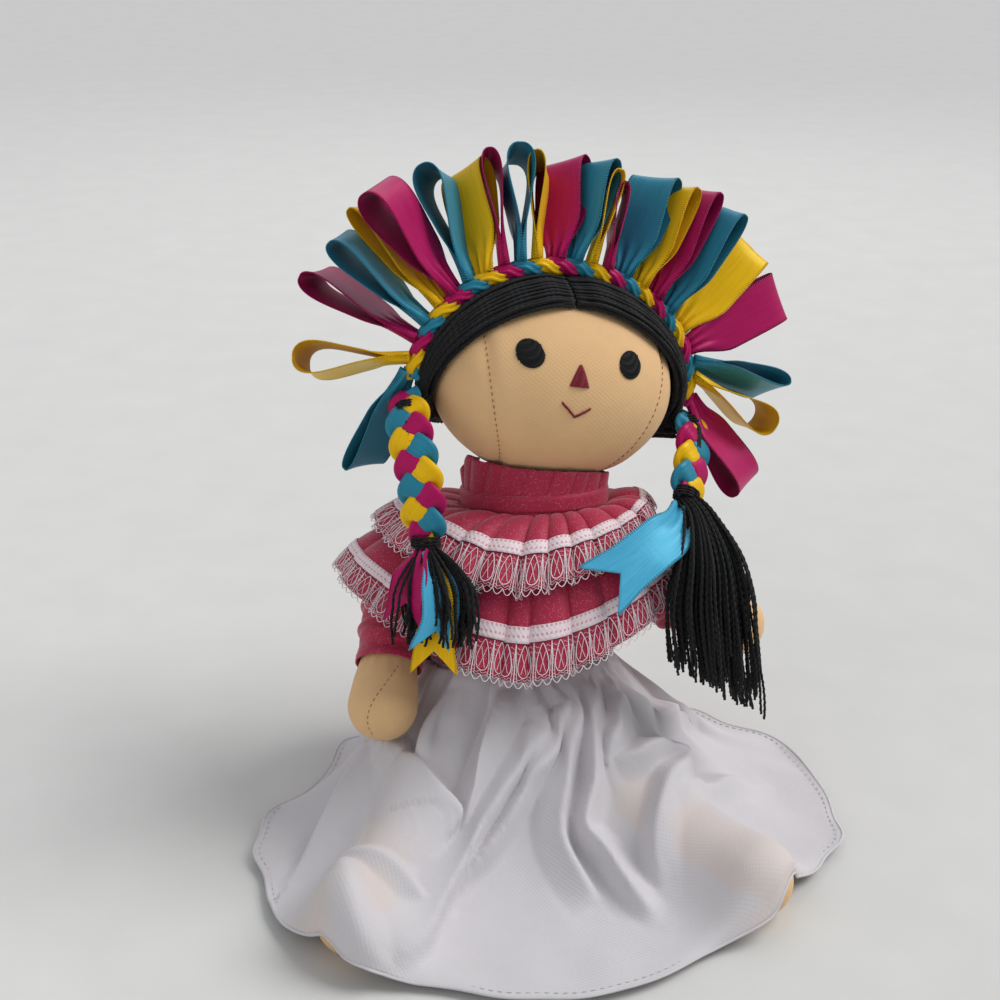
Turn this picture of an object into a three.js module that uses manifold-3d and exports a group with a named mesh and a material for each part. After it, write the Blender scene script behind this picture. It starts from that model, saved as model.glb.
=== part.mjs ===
// Seated cloth doll: a stuffed body in a ruffled blouse and a gathered skirt, with plaits and a ribbon crown.
// Millimetres, +Z up. The doll faces -Y, its own left is +X, and the origin is the middle of its flat seat.
import * as THREE from 'three';
import { mergeVertices } from 'three/addons/utils/BufferGeometryUtils.js';
import Module from 'manifold-3d';

const wasm = await Module();
wasm.setup();

const { degToRad, lerp, smoothstep } = THREE.MathUtils;

// Fits
const CLEARANCE = 0.3;
const CLOTH = 1.0;
const STUFFING_GAP = 0.6;
const RIBBON = 0.5;
const WELD = 1e-4;
const SMALL_STEP = 1e-3;

// Torso: heights along its own axis, which leans back
const LEAN = degToRad(12);
const SEAT_WIDTH = 56;
const SEAT_DEPTH = 45;
const SEAT_ROUND = 10;
const SEAT_ROWS = [0.85, 0.55];
const HIP_WIDTH = 62;
const HIP_DEPTH = 50;
const HIP_HEIGHT = 14;
const BELLY_TUCK = 2;
const WAIST_WIDTH = 50;
const WAIST_DEPTH = 40;
const WAIST_HEIGHT = 44;
const CHEST_WIDTH = 45;
const CHEST_DEPTH = 35;
const CHEST_HEIGHT = 72;
const SHOULDER_WIDTH = 39;
const SHOULDER_DEPTH = 32;
const SHOULDER_HEIGHT = 93;
const NECK_DIAMETER = 23;
const NECK_HEIGHT = 99;
const NECK_SHIFT = 7;
const NECK_PIVOT = 103;
const TURNING_HOLE = 9;
const DOME_BEND = degToRad(60);

// Head: half axes, how far its middle stands over the neck pivot, and how it is turned on the neck
const HEAD_HALF_WIDTH = 37;
const HEAD_HALF_DEPTH = 27;
const HEAD_HALF_HEIGHT = 28;
const HEAD_RISE = 26;
const HEAD_TURN = degToRad(17);
const HEAD_ROLL = degToRad(9);
const HEAD_NOD = degToRad(4);
const HEAD_OPENING_HEIGHT = 2.8;

// Face, in the plane across the front of the head, measured from its middle
const FELT = 0.8;
const FACE_SHIFT = -2.3;
const EYE_DIAMETER = 8.4;
const EYE_SPACING = 31.6;
const EYE_HEIGHT = 11;
const NOSE_WIDTH = 5.6;
const NOSE_TOP = 10;
const NOSE_BOTTOM = 3.8;
const MOUTH_WIDTH = 9;
const MOUTH_TOP = -1.2;
const MOUTH_DIP = 3.8;
const MOUTH_LINE = 1.4;

// Hair, headband and crown of ribbon loops
const HAIR = 4;
const HAIRLINE_SLANT = degToRad(15);
const HAIRLINE_FORWARD = 10;
const HAIR_HEM = 12;
const BAND_DIAMETER = 7.6;
const BAND_FORWARD = 2;
const BAND_PAST_SIDE = degToRad(4);
const LOOP_COUNT = 24;
const LOOP_MARGIN = 0.03;
const LOOP_SEAT = 0.75;
const LOOP_LENGTH = 33;
const LOOP_WIDTH = 15;
const LOOP_PINCH = 5;
const LOOP_OPENING_RIGHT = 3.4;
const LOOP_OPENING_LEFT = 1.0;
const LOOP_FAN = degToRad(100);
const LOOP_DROOP = degToRad(44);
const DROOP_POWER = 12;
const LOOP_LEAN_BACK = degToRad(22);
const LEAN_POWER = 4;
const LOOP_TWIST_RIGHT = degToRad(-20);
const LOOP_TWIST_LEFT = degToRad(60);
const TWIST_GROWS = [-0.5, 0.6];
const TWIST_FADES = [0.72, 0.86];
const LOOPS_CLOSE = [-0.8, -0.05];
const LOOP_WIDENS = [0, 0.7];

// Blouse: seams and hems by height on the torso, reach from the torso's axis at the front and the sides
const BODICE_BOTTOM = 49;
const BODICE_TOP = 95;
const NECKBAND_BOTTOM = 92.6;
const NECKBAND_HEIGHT = 6;
const COLLAR_HEIGHT = 5;
const COLLAR_DIP = 2.7;
const COLLAR_FLARE = 1.2;
const PLEATS = 16;
const PLEAT_DEPTH = 1.6;
const LACE = 0.6;
const LACE_WIDTH = 11;
const UPPER = {
  seam: 92,
  front: { bulge: 33, bulgeHeight: 88, reach: 38.5, hem: 76 },
  side: { bulge: 43, bulgeHeight: 94.5, reach: 48.5, hem: 85 },
};
const LOWER = {
  seam: 89.5,
  front: { bulge: 35, bulgeHeight: 80, reach: 42, hem: 47.5 },
  side: { bulge: 47, bulgeHeight: 87.5, reach: 53, hem: 74 },
};

// Arms: shoulder to finger tip, and the way each one points
const ARM_HEIGHT = 69;
const ARM_LENGTH = 50;
const ARM_DIAMETER = 18;
const WRIST_DIAMETER = 16;
const HAND_DIAMETER = 20.5;
const SLEEVE_LENGTH = 27;
const ARM_RIGHT_AIM = new THREE.Vector3(-0.16, -0.77, -0.61);
const ARM_LEFT_AIM = new THREE.Vector3(0.85, 0.11, -0.51);

// Legs: hip to toe, lying on the floor and splayed
const LEG_LENGTH = 60;
const LEG_DIAMETER = 25;
const ANKLE_DIAMETER = 19;
const ANKLE_SHARE = 0.62;
const FOOT_DIAMETER = 21;
const LEG_FLAT = 0.5;
const HIP_ANGLE = degToRad(50);
const HIP_PRESS = 0.7;
const LEG_RIGHT_SPLAY = degToRad(28);
const LEG_LEFT_SPLAY = degToRad(44);

// Skirt
const WAISTBAND_HEIGHT = 6;
const WAISTBAND_DROP = 3;
const HEM_SHIFT_SIDE = 5;
const HEM_SHIFT_FORWARD = 14;
const LEG_EASE = 2.2;
const DRAPE_BLEND = 3;
const HEM_RADIUS = 88;
// Reach of the hem as a share of its radius, and height of the cloth on each ring down to it, at even turns
// from the doll's left
const HEM_REACH = [
  1.04, 0.97, 0.92, 0.89, 0.87, 0.85, 0.84, 0.83, 0.81, 0.79, 0.78, 0.82,
  0.92, 0.99, 1.00, 0.99, 0.97, 0.95, 0.94, 0.92, 0.92, 0.93, 0.95, 1.01,
];
const SKIRT_FALLS = [0.16, 0.32, 0.48, 0.64, 0.78, 0.89, 1];
const SKIRT_HEIGHTS = [
  [33, 33, 34, 35, 33, 36, 31, 35, 37, 37, 36, 34, 35, 33, 35, 33, 34, 33, 33, 31, 34, 36, 35, 33],
  [22, 23, 26, 26, 24, 30, 21, 23, 30, 30, 29, 26, 25, 22, 26, 27, 27, 21, 21, 19, 24, 31, 27, 23],
  [12, 15, 18, 17, 14, 23, 13, 14, 21, 19, 21, 17, 15, 13, 18, 24, 20, 10, 12, 10, 17, 27, 20, 15],
  [6, 10, 11, 9, 10, 15, 8, 7, 13, 10, 15, 9, 11, 8, 12, 22, 12, 5, 6, 5, 9, 24, 16, 10],
  [3, 7, 6, 4, 8, 10, 5, 4, 7, 5, 11, 4, 8, 4, 7, 21, 9, 3, 3, 3, 5, 21, 12, 7],
  [3, 5, 4, 3, 6, 7, 4, 3, 5, 4, 7, 3, 6, 3, 6, 22, 7, 3, 3, 3, 5, 22, 11, 4],
  [3, 4, 4, 3, 5, 5, 4, 3, 5, 3, 5, 3, 4, 3, 5, 16, 5, 3, 4, 4, 3, 14, 7, 4],
];

// Plaits, tassels and ribbon tails
const PLAIT_DIAMETER = 10.5;
const PLAIT_LUMPS = 7;
const PLAIT_TIP = 0.08;
const TIE_DIAMETER = 8;
const TASSEL_RIGHT_DIAMETER = 13;
const TASSEL_LEFT_LENGTH = 62;
const TASSEL_LEFT_DIAMETER = 17;
const TAIL_WIDTH = 13;
const TAIL_PINCH = 6;
const TAIL_NOTCH = 6;
const LUMP_DEPTH = 0.08;
const PLAIT_SWELLS = [0.05, 0.35];
const PLAIT_NARROWS = [0.85, 1];
const TASSEL_SPREADS = [0.08, 0.5];
const TASSEL_NARROWS = [0.7, 1];
const TASSEL_TAPER = 0.25;

// Where the plaits lie: fall and turn on a ruffle, and how far their surface stands off it
const RIGHT_TIE = { fall: 0.72, turn: degToRad(229), lift: 3.5 };
const RIGHT_EDGE = { fall: 0.98, turn: degToRad(230), lift: 4.5 };
const RIGHT_HANG = { fall: 0.75, turn: degToRad(231), lift: 5 };
const RIGHT_DRIFT = new THREE.Vector3(-2, -5, 0);
const RIGHT_DROP = new THREE.Vector3(0, -2, -12);
const LEFT_TIE = { fall: 0.92, turn: degToRad(-5), lift: 3.75 };
const LEFT_HANG = { fall: 0.86, turn: degToRad(-24), lift: 5 };
const LEFT_DRIFT = new THREE.Vector3(3, -4, 0);
const LEFT_SPREAD = 6;
const PLAIT_STRAIGHT = 3;
const PLAIT_REACH = 0.8;
const TASSEL_STRAIGHT = 4;

// Ribbon tails: which way each faces, where along its tassel it lies, and how its end strays
const BLUE_FACES = new THREE.Vector3(0.55, -0.84, 0);
const BLUE_ALONG = [0.12, 0.25, 0.45, 0.7];
const BLUE_STRAY = new THREE.Vector3(1, -2, -9);
const YELLOW_FACES = new THREE.Vector3(-0.9, -0.44, 0);
const YELLOW_ALONG = [0.3, 0.4, 0.5, 0.65, 0.8];
const YELLOW_STRAY = new THREE.Vector3(-1, -2, -12);
const LEFT_TAIL_WAY = new THREE.Vector3(-0.7, -0.8, 0.3);
const LEFT_TAIL_ACROSS = new THREE.Vector3(0, 0.4, 0.9);
const LEFT_TAIL_GAP = 1.8;
const LEFT_TAIL_STRAIGHT = 7;
const LEFT_TAIL_BEND = { fall: 0.92, turn: degToRad(-36), lift: 7.5 };
const LEFT_TAIL_END = { fall: 0.95, turn: degToRad(-50), lift: 7.5 };

// Colours
const skinCloth = { color: 0xd9a877, roughness: 0.85 };
const stuffing = { color: 0xf2eee6, roughness: 1 };
const pinkCloth = { color: 0xb8325f, roughness: 0.6 };
const laceCloth = { color: 0xf0d6dd, roughness: 0.7 };
const whiteCloth = { color: 0xe6e3ec, roughness: 0.85 };
const blackYarn = { color: 0x0b0b0d, roughness: 0.9 };
const redThread = { color: 0x8e1a2c, roughness: 0.7 };
const blueSatin = { color: 0x1f7fa0, roughness: 0.35 };
const yellowSatin = { color: 0xe0ab12, roughness: 0.35 };
const magentaSatin = { color: 0xa8155c, roughness: 0.35 };

const root = new THREE.Group();
const torso = new THREE.Group();
torso.rotation.x = -LEAN;
root.add(torso);
const head = new THREE.Group();
head.position.set(NECK_SHIFT, 0, NECK_PIVOT);
head.rotation.set(HEAD_NOD, HEAD_ROLL, HEAD_TURN, 'ZYX');
torso.add(head);
root.updateMatrixWorld(true);

function addPiece(parent, name, geometry, finish) {
  const mesh = new THREE.Mesh(geometry, new THREE.MeshStandardMaterial({ metalness: 0, ...finish }));
  mesh.name = name;
  parent.add(mesh);
}

function geometryFrom(positions, triangles) {
  const geometry = new THREE.BufferGeometry();
  geometry.setAttribute('position', new THREE.Float32BufferAttribute(positions, 3));
  geometry.setIndex(triangles);
  geometry.computeVertexNormals();
  return geometry;
}

function enclosedVolume(points, triangles) {
  let volume = 0;
  for (let k = 0; k < triangles.length; k += 3) {
    const [a, b, c] = triangles.slice(k, k + 3).map((index) => points[index]);
    volume += a.dot(new THREE.Vector3().crossVectors(b, c));
  }
  return volume;
}

function middleOf(ring) {
  return ring.reduce((sum, p) => sum.add(p), new THREE.Vector3()).divideScalar(ring.length);
}

// Skins a solid over closed rings of points. The end rings are capped, or joined up in a tube wall.
function skin(rings, isTubeWall = false) {
  const count = rings[0].length;
  const points = rings.flat();
  const triangles = [];
  const bands = isTubeWall ? rings.length : rings.length - 1;
  for (let j = 0; j < bands; j += 1) {
    const here = j * count;
    const there = ((j + 1) % rings.length) * count;
    for (let i = 0; i < count; i += 1) {
      const next = (i + 1) % count;
      triangles.push(here + i, here + next, there + next, here + i, there + next, there + i);
    }
  }
  if (!isTubeWall) {
    const last = (rings.length - 1) * count;
    points.push(middleOf(rings[0]), middleOf(rings[rings.length - 1]));
    for (let i = 0; i < count; i += 1) {
      const next = (i + 1) % count;
      triangles.push(rings.length * count, next, i, rings.length * count + 1, last + i, last + next);
    }
  }
  if (enclosedVolume(points, triangles) < 0) {
    triangles.reverse();
  }
  return geometryFrom(points.flatMap((p) => [p.x, p.y, p.z]), triangles);
}

function wall(outerRings, innerRings) {
  return skin([...outerRings, ...innerRings.toReversed()], true);
}

function bag(outerRings, innerRings) {
  return skin([...outerRings, ...innerRings.toReversed()]);
}

function ellipseRing(halfWidth, halfDepth, height, count, shift = 0) {
  return Array.from({ length: count }, (_, i) => {
    const turn = (2 * Math.PI * i) / count;
    return new THREE.Vector3(shift + halfWidth * Math.cos(turn), halfDepth * Math.sin(turn), height);
  });
}

function steps(count) {
  return Array.from({ length: count + 1 }, (_, k) => k / count);
}

function solidFrom(geometry) {
  const bare = geometry.clone();
  bare.deleteAttribute('normal');
  bare.deleteAttribute('uv');
  const merged = mergeVertices(bare, WELD);
  return new wasm.Manifold(new wasm.Mesh({
    numProp: 3,
    vertProperties: new Float32Array(merged.attributes.position.array),
    triVerts: new Uint32Array(merged.index.array),
  }));
}

function geometryOf(solid) {
  const mesh = solid.getMesh();
  return geometryFrom(mesh.vertProperties, Array.from(mesh.triVerts));
}

// A wall of cloth on a surface given by a fall from 0 to 1 and a turn about the body, facing out.
function clothPoint(surface, fall, turn, offset) {
  const down = surface(fall + SMALL_STEP, turn).sub(surface(fall - SMALL_STEP, turn));
  const around = surface(fall, turn + SMALL_STEP).sub(surface(fall, turn - SMALL_STEP));
  const outward = down.cross(around).normalize();
  return surface(fall, turn).addScaledVector(outward, offset);
}

function clothWall(surface, falls, count, outerOffset, innerOffset) {
  const ringsAt = (offset) => falls.map((fall) => Array.from({ length: count }, (_, i) => (
    clothPoint(surface, fall, (2 * Math.PI * i) / count, offset))));
  return wall(ringsAt(outerOffset), ringsAt(innerOffset));
}

// A round or tapering body along a curve
function rope(curve, stepCount, sides, radiusAt) {
  const frames = curve.computeFrenetFrames(stepCount, false);
  return skin(steps(stepCount).map((t, k) => {
    const centre = curve.getPointAt(t);
    return Array.from({ length: sides }, (_, i) => {
      const turn = (2 * Math.PI * i) / sides;
      const spoke = frames.normals[k].clone().multiplyScalar(Math.cos(turn));
      spoke.addScaledVector(frames.binormals[k], Math.sin(turn));
      return centre.clone().addScaledVector(spoke, radiusAt(t));
    });
  }));
}

// Torso
const PIECE_SIDES = 20;
const torsoStations = [
  { height: 0, width: SEAT_WIDTH, depth: SEAT_DEPTH },
  { height: HIP_HEIGHT, width: HIP_WIDTH, depth: HIP_DEPTH },
  { height: (HIP_HEIGHT + WAIST_HEIGHT) / 2, width: HIP_WIDTH - BELLY_TUCK, depth: HIP_DEPTH - BELLY_TUCK },
  { height: WAIST_HEIGHT, width: WAIST_WIDTH, depth: WAIST_DEPTH },
  { height: CHEST_HEIGHT, width: CHEST_WIDTH, depth: CHEST_DEPTH },
  { height: SHOULDER_HEIGHT, width: SHOULDER_WIDTH, depth: SHOULDER_DEPTH },
  { height: NECK_HEIGHT, width: NECK_DIAMETER, depth: NECK_DIAMETER },
  { height: NECK_PIVOT, width: NECK_DIAMETER, depth: NECK_DIAMETER },
];

function torsoSection(height) {
  const above = torsoStations.findIndex((station) => station.height >= height);
  const high = torsoStations[Math.max(above, 1)];
  const low = torsoStations[Math.max(above, 1) - 1];
  const share = (height - low.height) / (high.height - low.height);
  return {
    halfWidth: lerp(low.width, high.width, share) / 2,
    halfDepth: lerp(low.depth, high.depth, share) / 2,
    shift: NECK_SHIFT * smoothstep(height, CHEST_HEIGHT, NECK_HEIGHT),
  };
}

function torsoRing(height, grow) {
  const { halfWidth, halfDepth, shift } = torsoSection(height);
  return ellipseRing(halfWidth + grow, halfDepth + grow, height, PIECE_SIDES, shift);
}

function torsoRings(grow) {
  const seat = SEAT_ROWS.map((depth) => {
    const round = Math.sqrt(1 - depth ** 2);
    const height = -SEAT_ROUND * depth;
    const halfWidth = (SEAT_WIDTH / 2) * round + grow;
    const halfDepth = (SEAT_DEPTH / 2) * round + grow;
    return ellipseRing(halfWidth, halfDepth, height, PIECE_SIDES);
  });
  const body = torsoStations.map((station) => torsoRing(station.height, grow));
  const domeRadius = NECK_DIAMETER / 2 + grow;
  const rim = Math.asin(TURNING_HOLE / NECK_DIAMETER);
  const dome = [DOME_BEND, rim].map((polar) => {
    const radius = domeRadius * Math.sin(polar);
    return ellipseRing(radius, radius, NECK_PIVOT + domeRadius * Math.cos(polar), PIECE_SIDES, NECK_SHIFT);
  });
  const floor = -grow / Math.cos(LEAN);
  const rings = [...seat, ...body, ...dome];
  rings.flat().forEach((p) => {
    p.z = Math.max(p.z, p.y * Math.tan(LEAN) + floor);
  });
  return rings;
}

addPiece(torso, 'torso_skin', bag(torsoRings(0), torsoRings(-CLOTH)), skinCloth);
addPiece(torso, 'torso_stuffing', skin(torsoRings(-CLOTH - STUFFING_GAP)), stuffing);

// Blouse bodice, neckband and collar
const bodiceOffset = CLEARANCE + CLOTH;
const bodiceHeights = [
  BODICE_BOTTOM,
  ...torsoStations.map((station) => station.height).filter((h) => h > BODICE_BOTTOM && h < BODICE_TOP),
  BODICE_TOP,
];
const bodiceRings = (grow) => bodiceHeights.map((height) => torsoRing(height, grow));
addPiece(torso, 'blouse_bodice', wall(bodiceRings(bodiceOffset), bodiceRings(CLEARANCE)), pinkCloth);

const neckbandSection = torsoSection(NECKBAND_BOTTOM);
const neckbandInner = {
  halfWidth: neckbandSection.halfWidth + bodiceOffset + CLEARANCE,
  halfDepth: neckbandSection.halfDepth + bodiceOffset + CLEARANCE,
  shift: neckbandSection.shift,
};
const neckbandTop = NECKBAND_BOTTOM + NECKBAND_HEIGHT;
const BAND_SIDES = 36;

function neckbandRings(grow) {
  return [NECKBAND_BOTTOM, neckbandTop].map((height) => ellipseRing(
    neckbandInner.halfWidth + grow, neckbandInner.halfDepth + grow, height, BAND_SIDES, neckbandInner.shift));
}

addPiece(torso, 'neckband', wall(neckbandRings(CLOTH), neckbandRings(0)), pinkCloth);

const COLLAR_SIDES = 48;
const COLLAR_ROWS = [0.02, 1];

function collarSurface(fall, turn) {
  const dip = COLLAR_DIP * ((1 + Math.cos(turn)) / 2) ** 2;
  const height = lerp(neckbandTop + COLLAR_HEIGHT - dip, neckbandTop + CLEARANCE, fall);
  const grow = CLOTH + (1 - fall) * COLLAR_FLARE * (1 + Math.cos(PLEATS * turn)) / 2;
  return new THREE.Vector3(
    neckbandInner.shift + (neckbandInner.halfWidth + grow) * Math.cos(turn),
    (neckbandInner.halfDepth + grow) * Math.sin(turn),
    height);
}

addPiece(torso, 'collar_ruffle', clothWall(collarSurface, COLLAR_ROWS, COLLAR_SIDES, 0, -CLOTH), pinkCloth);

// Two pleated ruffles that fall from the neck over the shoulders, each edged with lace
const RUFFLE_SIDES = 64;
const RUFFLE_BREAK = 0.45;

function ruffleSurface(ruffle) {
  const section = torsoSection(ruffle.seam);
  const seamGrow = bodiceOffset + CLEARANCE + CLOTH;
  return (fall, turn) => {
    const sideShare = Math.cos(turn) ** 2;
    const reachOf = (side, front) => 1 / Math.hypot(Math.cos(turn) / side, Math.sin(turn) / front);
    const seam = reachOf(section.halfWidth + seamGrow, section.halfDepth + seamGrow);
    const bulge = reachOf(ruffle.side.bulge, ruffle.front.bulge);
    const hem = reachOf(ruffle.side.reach, ruffle.front.reach);
    const bulgeHeight = lerp(ruffle.front.bulgeHeight, ruffle.side.bulgeHeight, sideShare);
    const hemHeight = lerp(ruffle.front.hem, ruffle.side.hem, sideShare);
    const rest = 1 - fall;
    const radius = rest ** 2 * seam + 2 * rest * fall * bulge + fall ** 2 * hem
      + PLEAT_DEPTH * fall * Math.cos(PLEATS * turn);
    const height = rest ** 2 * ruffle.seam + 2 * rest * fall * bulgeHeight + fall ** 2 * hemHeight;
    const shift = section.shift * rest;
    return new THREE.Vector3(shift + radius * Math.cos(turn), radius * Math.sin(turn), height);
  };
}

function hemLength(ruffle) {
  return Math.hypot(ruffle.front.reach - ruffle.front.bulge, ruffle.front.bulgeHeight - ruffle.front.hem);
}

const upperSurface = ruffleSurface(UPPER);
const lowerSurface = ruffleSurface(LOWER);

function addRuffle(name, ruffle, surface) {
  const laceTop = 1 - LACE_WIDTH / (2 * hemLength(ruffle));
  const rows = [0, RUFFLE_BREAK, laceTop, 1];
  addPiece(torso, `${name}_ruffle`, clothWall(surface, rows, RUFFLE_SIDES, 0, -CLOTH), pinkCloth);
  const laceWall = clothWall(surface, [laceTop, 1], RUFFLE_SIDES, CLEARANCE + LACE, CLEARANCE);
  addPiece(torso, `${name}_lace`, laceWall, laceCloth);
}

addRuffle('upper', UPPER, upperSurface);
addRuffle('lower', LOWER, lowerSurface);

// Arms: a mitten-shaped stuffed tube in a sleeve, turning about the middle of its round shoulder end
const ARM_SIDES = 14;
const END_BEND = degToRad(45);
const TIP_RIM = degToRad(14);
const armStations = [
  { along: 0, diameter: ARM_DIAMETER },
  { along: SLEEVE_LENGTH, diameter: WRIST_DIAMETER },
  { along: ARM_LENGTH - HAND_DIAMETER / 2, diameter: HAND_DIAMETER },
];

// Rings down a limb: a round top with its turning hole, the stations, and a round tip about the last station
function limbRings(stations, grow, sides) {
  const topRadius = stations[0].diameter / 2 + grow;
  const rim = Math.asin(TURNING_HOLE / stations[0].diameter);
  const top = [rim, END_BEND].map((polar) => {
    const radius = topRadius * Math.sin(polar);
    return ellipseRing(radius, radius, topRadius * Math.cos(polar), sides);
  });
  const body = stations.map(({ along, diameter }) => {
    const radius = diameter / 2 + grow;
    return ellipseRing(radius, radius, -along, sides);
  });
  const end = stations[stations.length - 1];
  const tipRadius = end.diameter / 2 + grow;
  const tip = [END_BEND, TIP_RIM].map((polar) => {
    const radius = tipRadius * Math.sin(polar);
    return ellipseRing(radius, radius, -end.along - tipRadius * Math.cos(polar), sides);
  });
  return [...top, ...body, ...tip];
}

const armRings = (grow) => limbRings(armStations, grow, ARM_SIDES);

function sleeveRings(grow) {
  const shoulderToWrist = 4;
  return armRings(grow).slice(0, shoulderToWrist);
}

const sleeveOffset = CLEARANCE + CLOTH;
const armSection = torsoSection(ARM_HEIGHT);
const shoulderReach = armSection.halfWidth + bodiceOffset + CLEARANCE + ARM_DIAMETER / 2 + sleeveOffset;

function addArm(side, sign, aim) {
  const arm = new THREE.Group();
  arm.name = `arm_${side}`;
  arm.position.set(armSection.shift + sign * shoulderReach, 0, ARM_HEIGHT).applyMatrix4(torso.matrixWorld);
  arm.quaternion.setFromUnitVectors(new THREE.Vector3(0, 0, -1), aim.clone().normalize());
  root.add(arm);
  addPiece(arm, `arm_${side}_skin`, skin([...armRings(0).toReversed(), ...armRings(-CLOTH)]), skinCloth);
  addPiece(arm, `arm_${side}_stuffing`, skin(armRings(-CLOTH - STUFFING_GAP)), stuffing);
  addPiece(arm, `sleeve_${side}`, bag(sleeveRings(sleeveOffset), sleeveRings(CLEARANCE)), pinkCloth);
}

addArm('right', -1, ARM_RIGHT_AIM);
addArm('left', 1, ARM_LEFT_AIM);

// Legs: tapering stuffed tubes on the floor, each turning about the middle of its round hip end
const LEG_SIDES = 16;
const legStations = [
  { along: 0, diameter: LEG_DIAMETER },
  { along: LEG_LENGTH * ANKLE_SHARE, diameter: ANKLE_DIAMETER },
  { along: LEG_LENGTH - FOOT_DIAMETER / 2, diameter: FOOT_DIAMETER },
];

function legRings(grow) {
  return limbRings(legStations, grow, LEG_SIDES).map((ring) => {
    const along = -middleOf(ring).z;
    const middle = legMiddleHeight(along);
    return ring.map((p) => new THREE.Vector3(p.x, -along, Math.max(middle + p.y, -grow)));
  });
}

function legRadius(along) {
  const [hip, ankle, foot] = legStations;
  if (along < ankle.along) {
    return lerp(hip.diameter, ankle.diameter, Math.max(along, 0) / ankle.along) / 2;
  }
  const share = Math.min((along - ankle.along) / (foot.along - ankle.along), 1);
  return lerp(ankle.diameter, foot.diameter, share) / 2;
}

function legMiddleHeight(along) {
  return legRadius(along) - LEG_FLAT;
}

const hipSection = torsoSection(HIP_HEIGHT);
const hipReach = LEG_DIAMETER / 2 + CLEARANCE - HIP_PRESS;
const hipSeam = new THREE.Vector3(
  hipSection.halfWidth * Math.cos(HIP_ANGLE), -hipSection.halfDepth * Math.sin(HIP_ANGLE), HIP_HEIGHT);
const hipNormal = new THREE.Vector2(
  Math.cos(HIP_ANGLE) / hipSection.halfWidth, -Math.sin(HIP_ANGLE) / hipSection.halfDepth).normalize();
const hipPivot = hipSeam.clone().applyMatrix4(torso.matrixWorld);
hipPivot.x += hipNormal.x * hipReach;
hipPivot.y += hipNormal.y * hipReach;

function addLeg(side, sign, splay) {
  const leg = new THREE.Group();
  leg.name = `leg_${side}`;
  leg.position.set(sign * hipPivot.x, hipPivot.y, 0);
  leg.rotation.z = sign * splay;
  root.add(leg);
  addPiece(leg, `leg_${side}_skin`, skin([...legRings(0).toReversed(), ...legRings(-CLOTH)]), skinCloth);
  addPiece(leg, `leg_${side}_stuffing`, skin(legRings(-CLOTH - STUFFING_GAP)), stuffing);
}

addLeg('right', -1, LEG_RIGHT_SPLAY);
addLeg('left', 1, LEG_LEFT_SPLAY);

// Skirt: gathered on a waistband, spread over the legs and down to the hem in soft folds
const waistbandTop = BODICE_BOTTOM - CLEARANCE;
const waistbandRings = (grow) => [waistbandTop - WAISTBAND_HEIGHT, WAIST_HEIGHT, waistbandTop]
  .map((height) => torsoRing(height, grow));
addPiece(torso, 'skirt_waistband', wall(waistbandRings(bodiceOffset), waistbandRings(CLEARANCE)), whiteCloth);

const waistSection = torsoSection(waistbandTop - WAISTBAND_DROP);
const waistGrow = bodiceOffset + CLEARANCE + CLOTH;
const waistMiddle = new THREE.Vector3(0, 0, waistbandTop - WAISTBAND_DROP).applyMatrix4(torso.matrixWorld);

function legCover(x, y) {
  const covers = [[-1, LEG_RIGHT_SPLAY], [1, LEG_LEFT_SPLAY]].map(([sign, splay]) => {
    const dx = x - sign * hipPivot.x;
    const dy = y - hipPivot.y;
    const ahead = dx * sign * Math.sin(splay) - dy * Math.cos(splay);
    const along = THREE.MathUtils.clamp(ahead, 0, LEG_LENGTH - FOOT_DIAMETER / 2);
    const across = dx * Math.cos(splay) + dy * sign * Math.sin(splay);
    const away = Math.hypot(across, ahead - along);
    const radius = legRadius(along) + LEG_EASE + CLOTH;
    const round = Math.sqrt(Math.max(radius ** 2 - away ** 2, 0));
    return legMiddleHeight(along) + round - Math.max(away - radius, 0);
  });
  return Math.max(...covers);
}

function smoothMax(a, b, blend) {
  const share = THREE.MathUtils.clamp(0.5 + (a - b) / (2 * blend), 0, 1);
  return lerp(b, a, share) + blend * share * (1 - share);
}

// A value from an even table all round, run smoothly between its entries
function allRound(values, turn) {
  const place = THREE.MathUtils.euclideanModulo(turn / (2 * Math.PI), 1) * values.length;
  const entry = Math.floor(place) % values.length;
  const next = (entry + 1) % values.length;
  return lerp(values[entry], values[next], smoothstep(place - Math.floor(place), 0, 1));
}

const skirtFalls = [0, ...SKIRT_FALLS];

function skirtHeight(fall, turn) {
  const rings = [waistMiddle.z, ...SKIRT_HEIGHTS.map((heights) => allRound(heights, turn))];
  const below = skirtFalls.findIndex((ringFall, ring) => ring > 0 && fall <= ringFall);
  const lower = below < 0 ? skirtFalls.length - 1 : below;
  const share = (fall - skirtFalls[lower - 1]) / (skirtFalls[lower] - skirtFalls[lower - 1]);
  return lerp(rings[lower - 1], rings[lower], share);
}

function skirtSurface(fall, turn) {
  const waistX = (waistSection.halfWidth + waistGrow) * Math.cos(turn);
  const waistY = waistMiddle.y + (waistSection.halfDepth + waistGrow) * Math.sin(turn);
  const hemReach = HEM_RADIUS * allRound(HEM_REACH, turn);
  const hemX = HEM_SHIFT_SIDE + hemReach * Math.cos(turn);
  const hemY = -HEM_SHIFT_FORWARD + hemReach * Math.sin(turn);
  const x = lerp(waistX, hemX, fall);
  const y = lerp(waistY, hemY, fall);
  return new THREE.Vector3(x, y, smoothMax(skirtHeight(fall, turn), legCover(x, y), DRAPE_BLEND));
}

const SKIRT_SIDES = 72;
addPiece(root, 'skirt', clothWall(skirtSurface, skirtFalls, SKIRT_SIDES, 0, -CLOTH), whiteCloth);

// Head: a stuffed ellipsoid on the round neck stump
const HEAD_SIDES = 24;
const HEAD_ROWS = 10;
const HEAD_POLE = 0.15;

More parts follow.
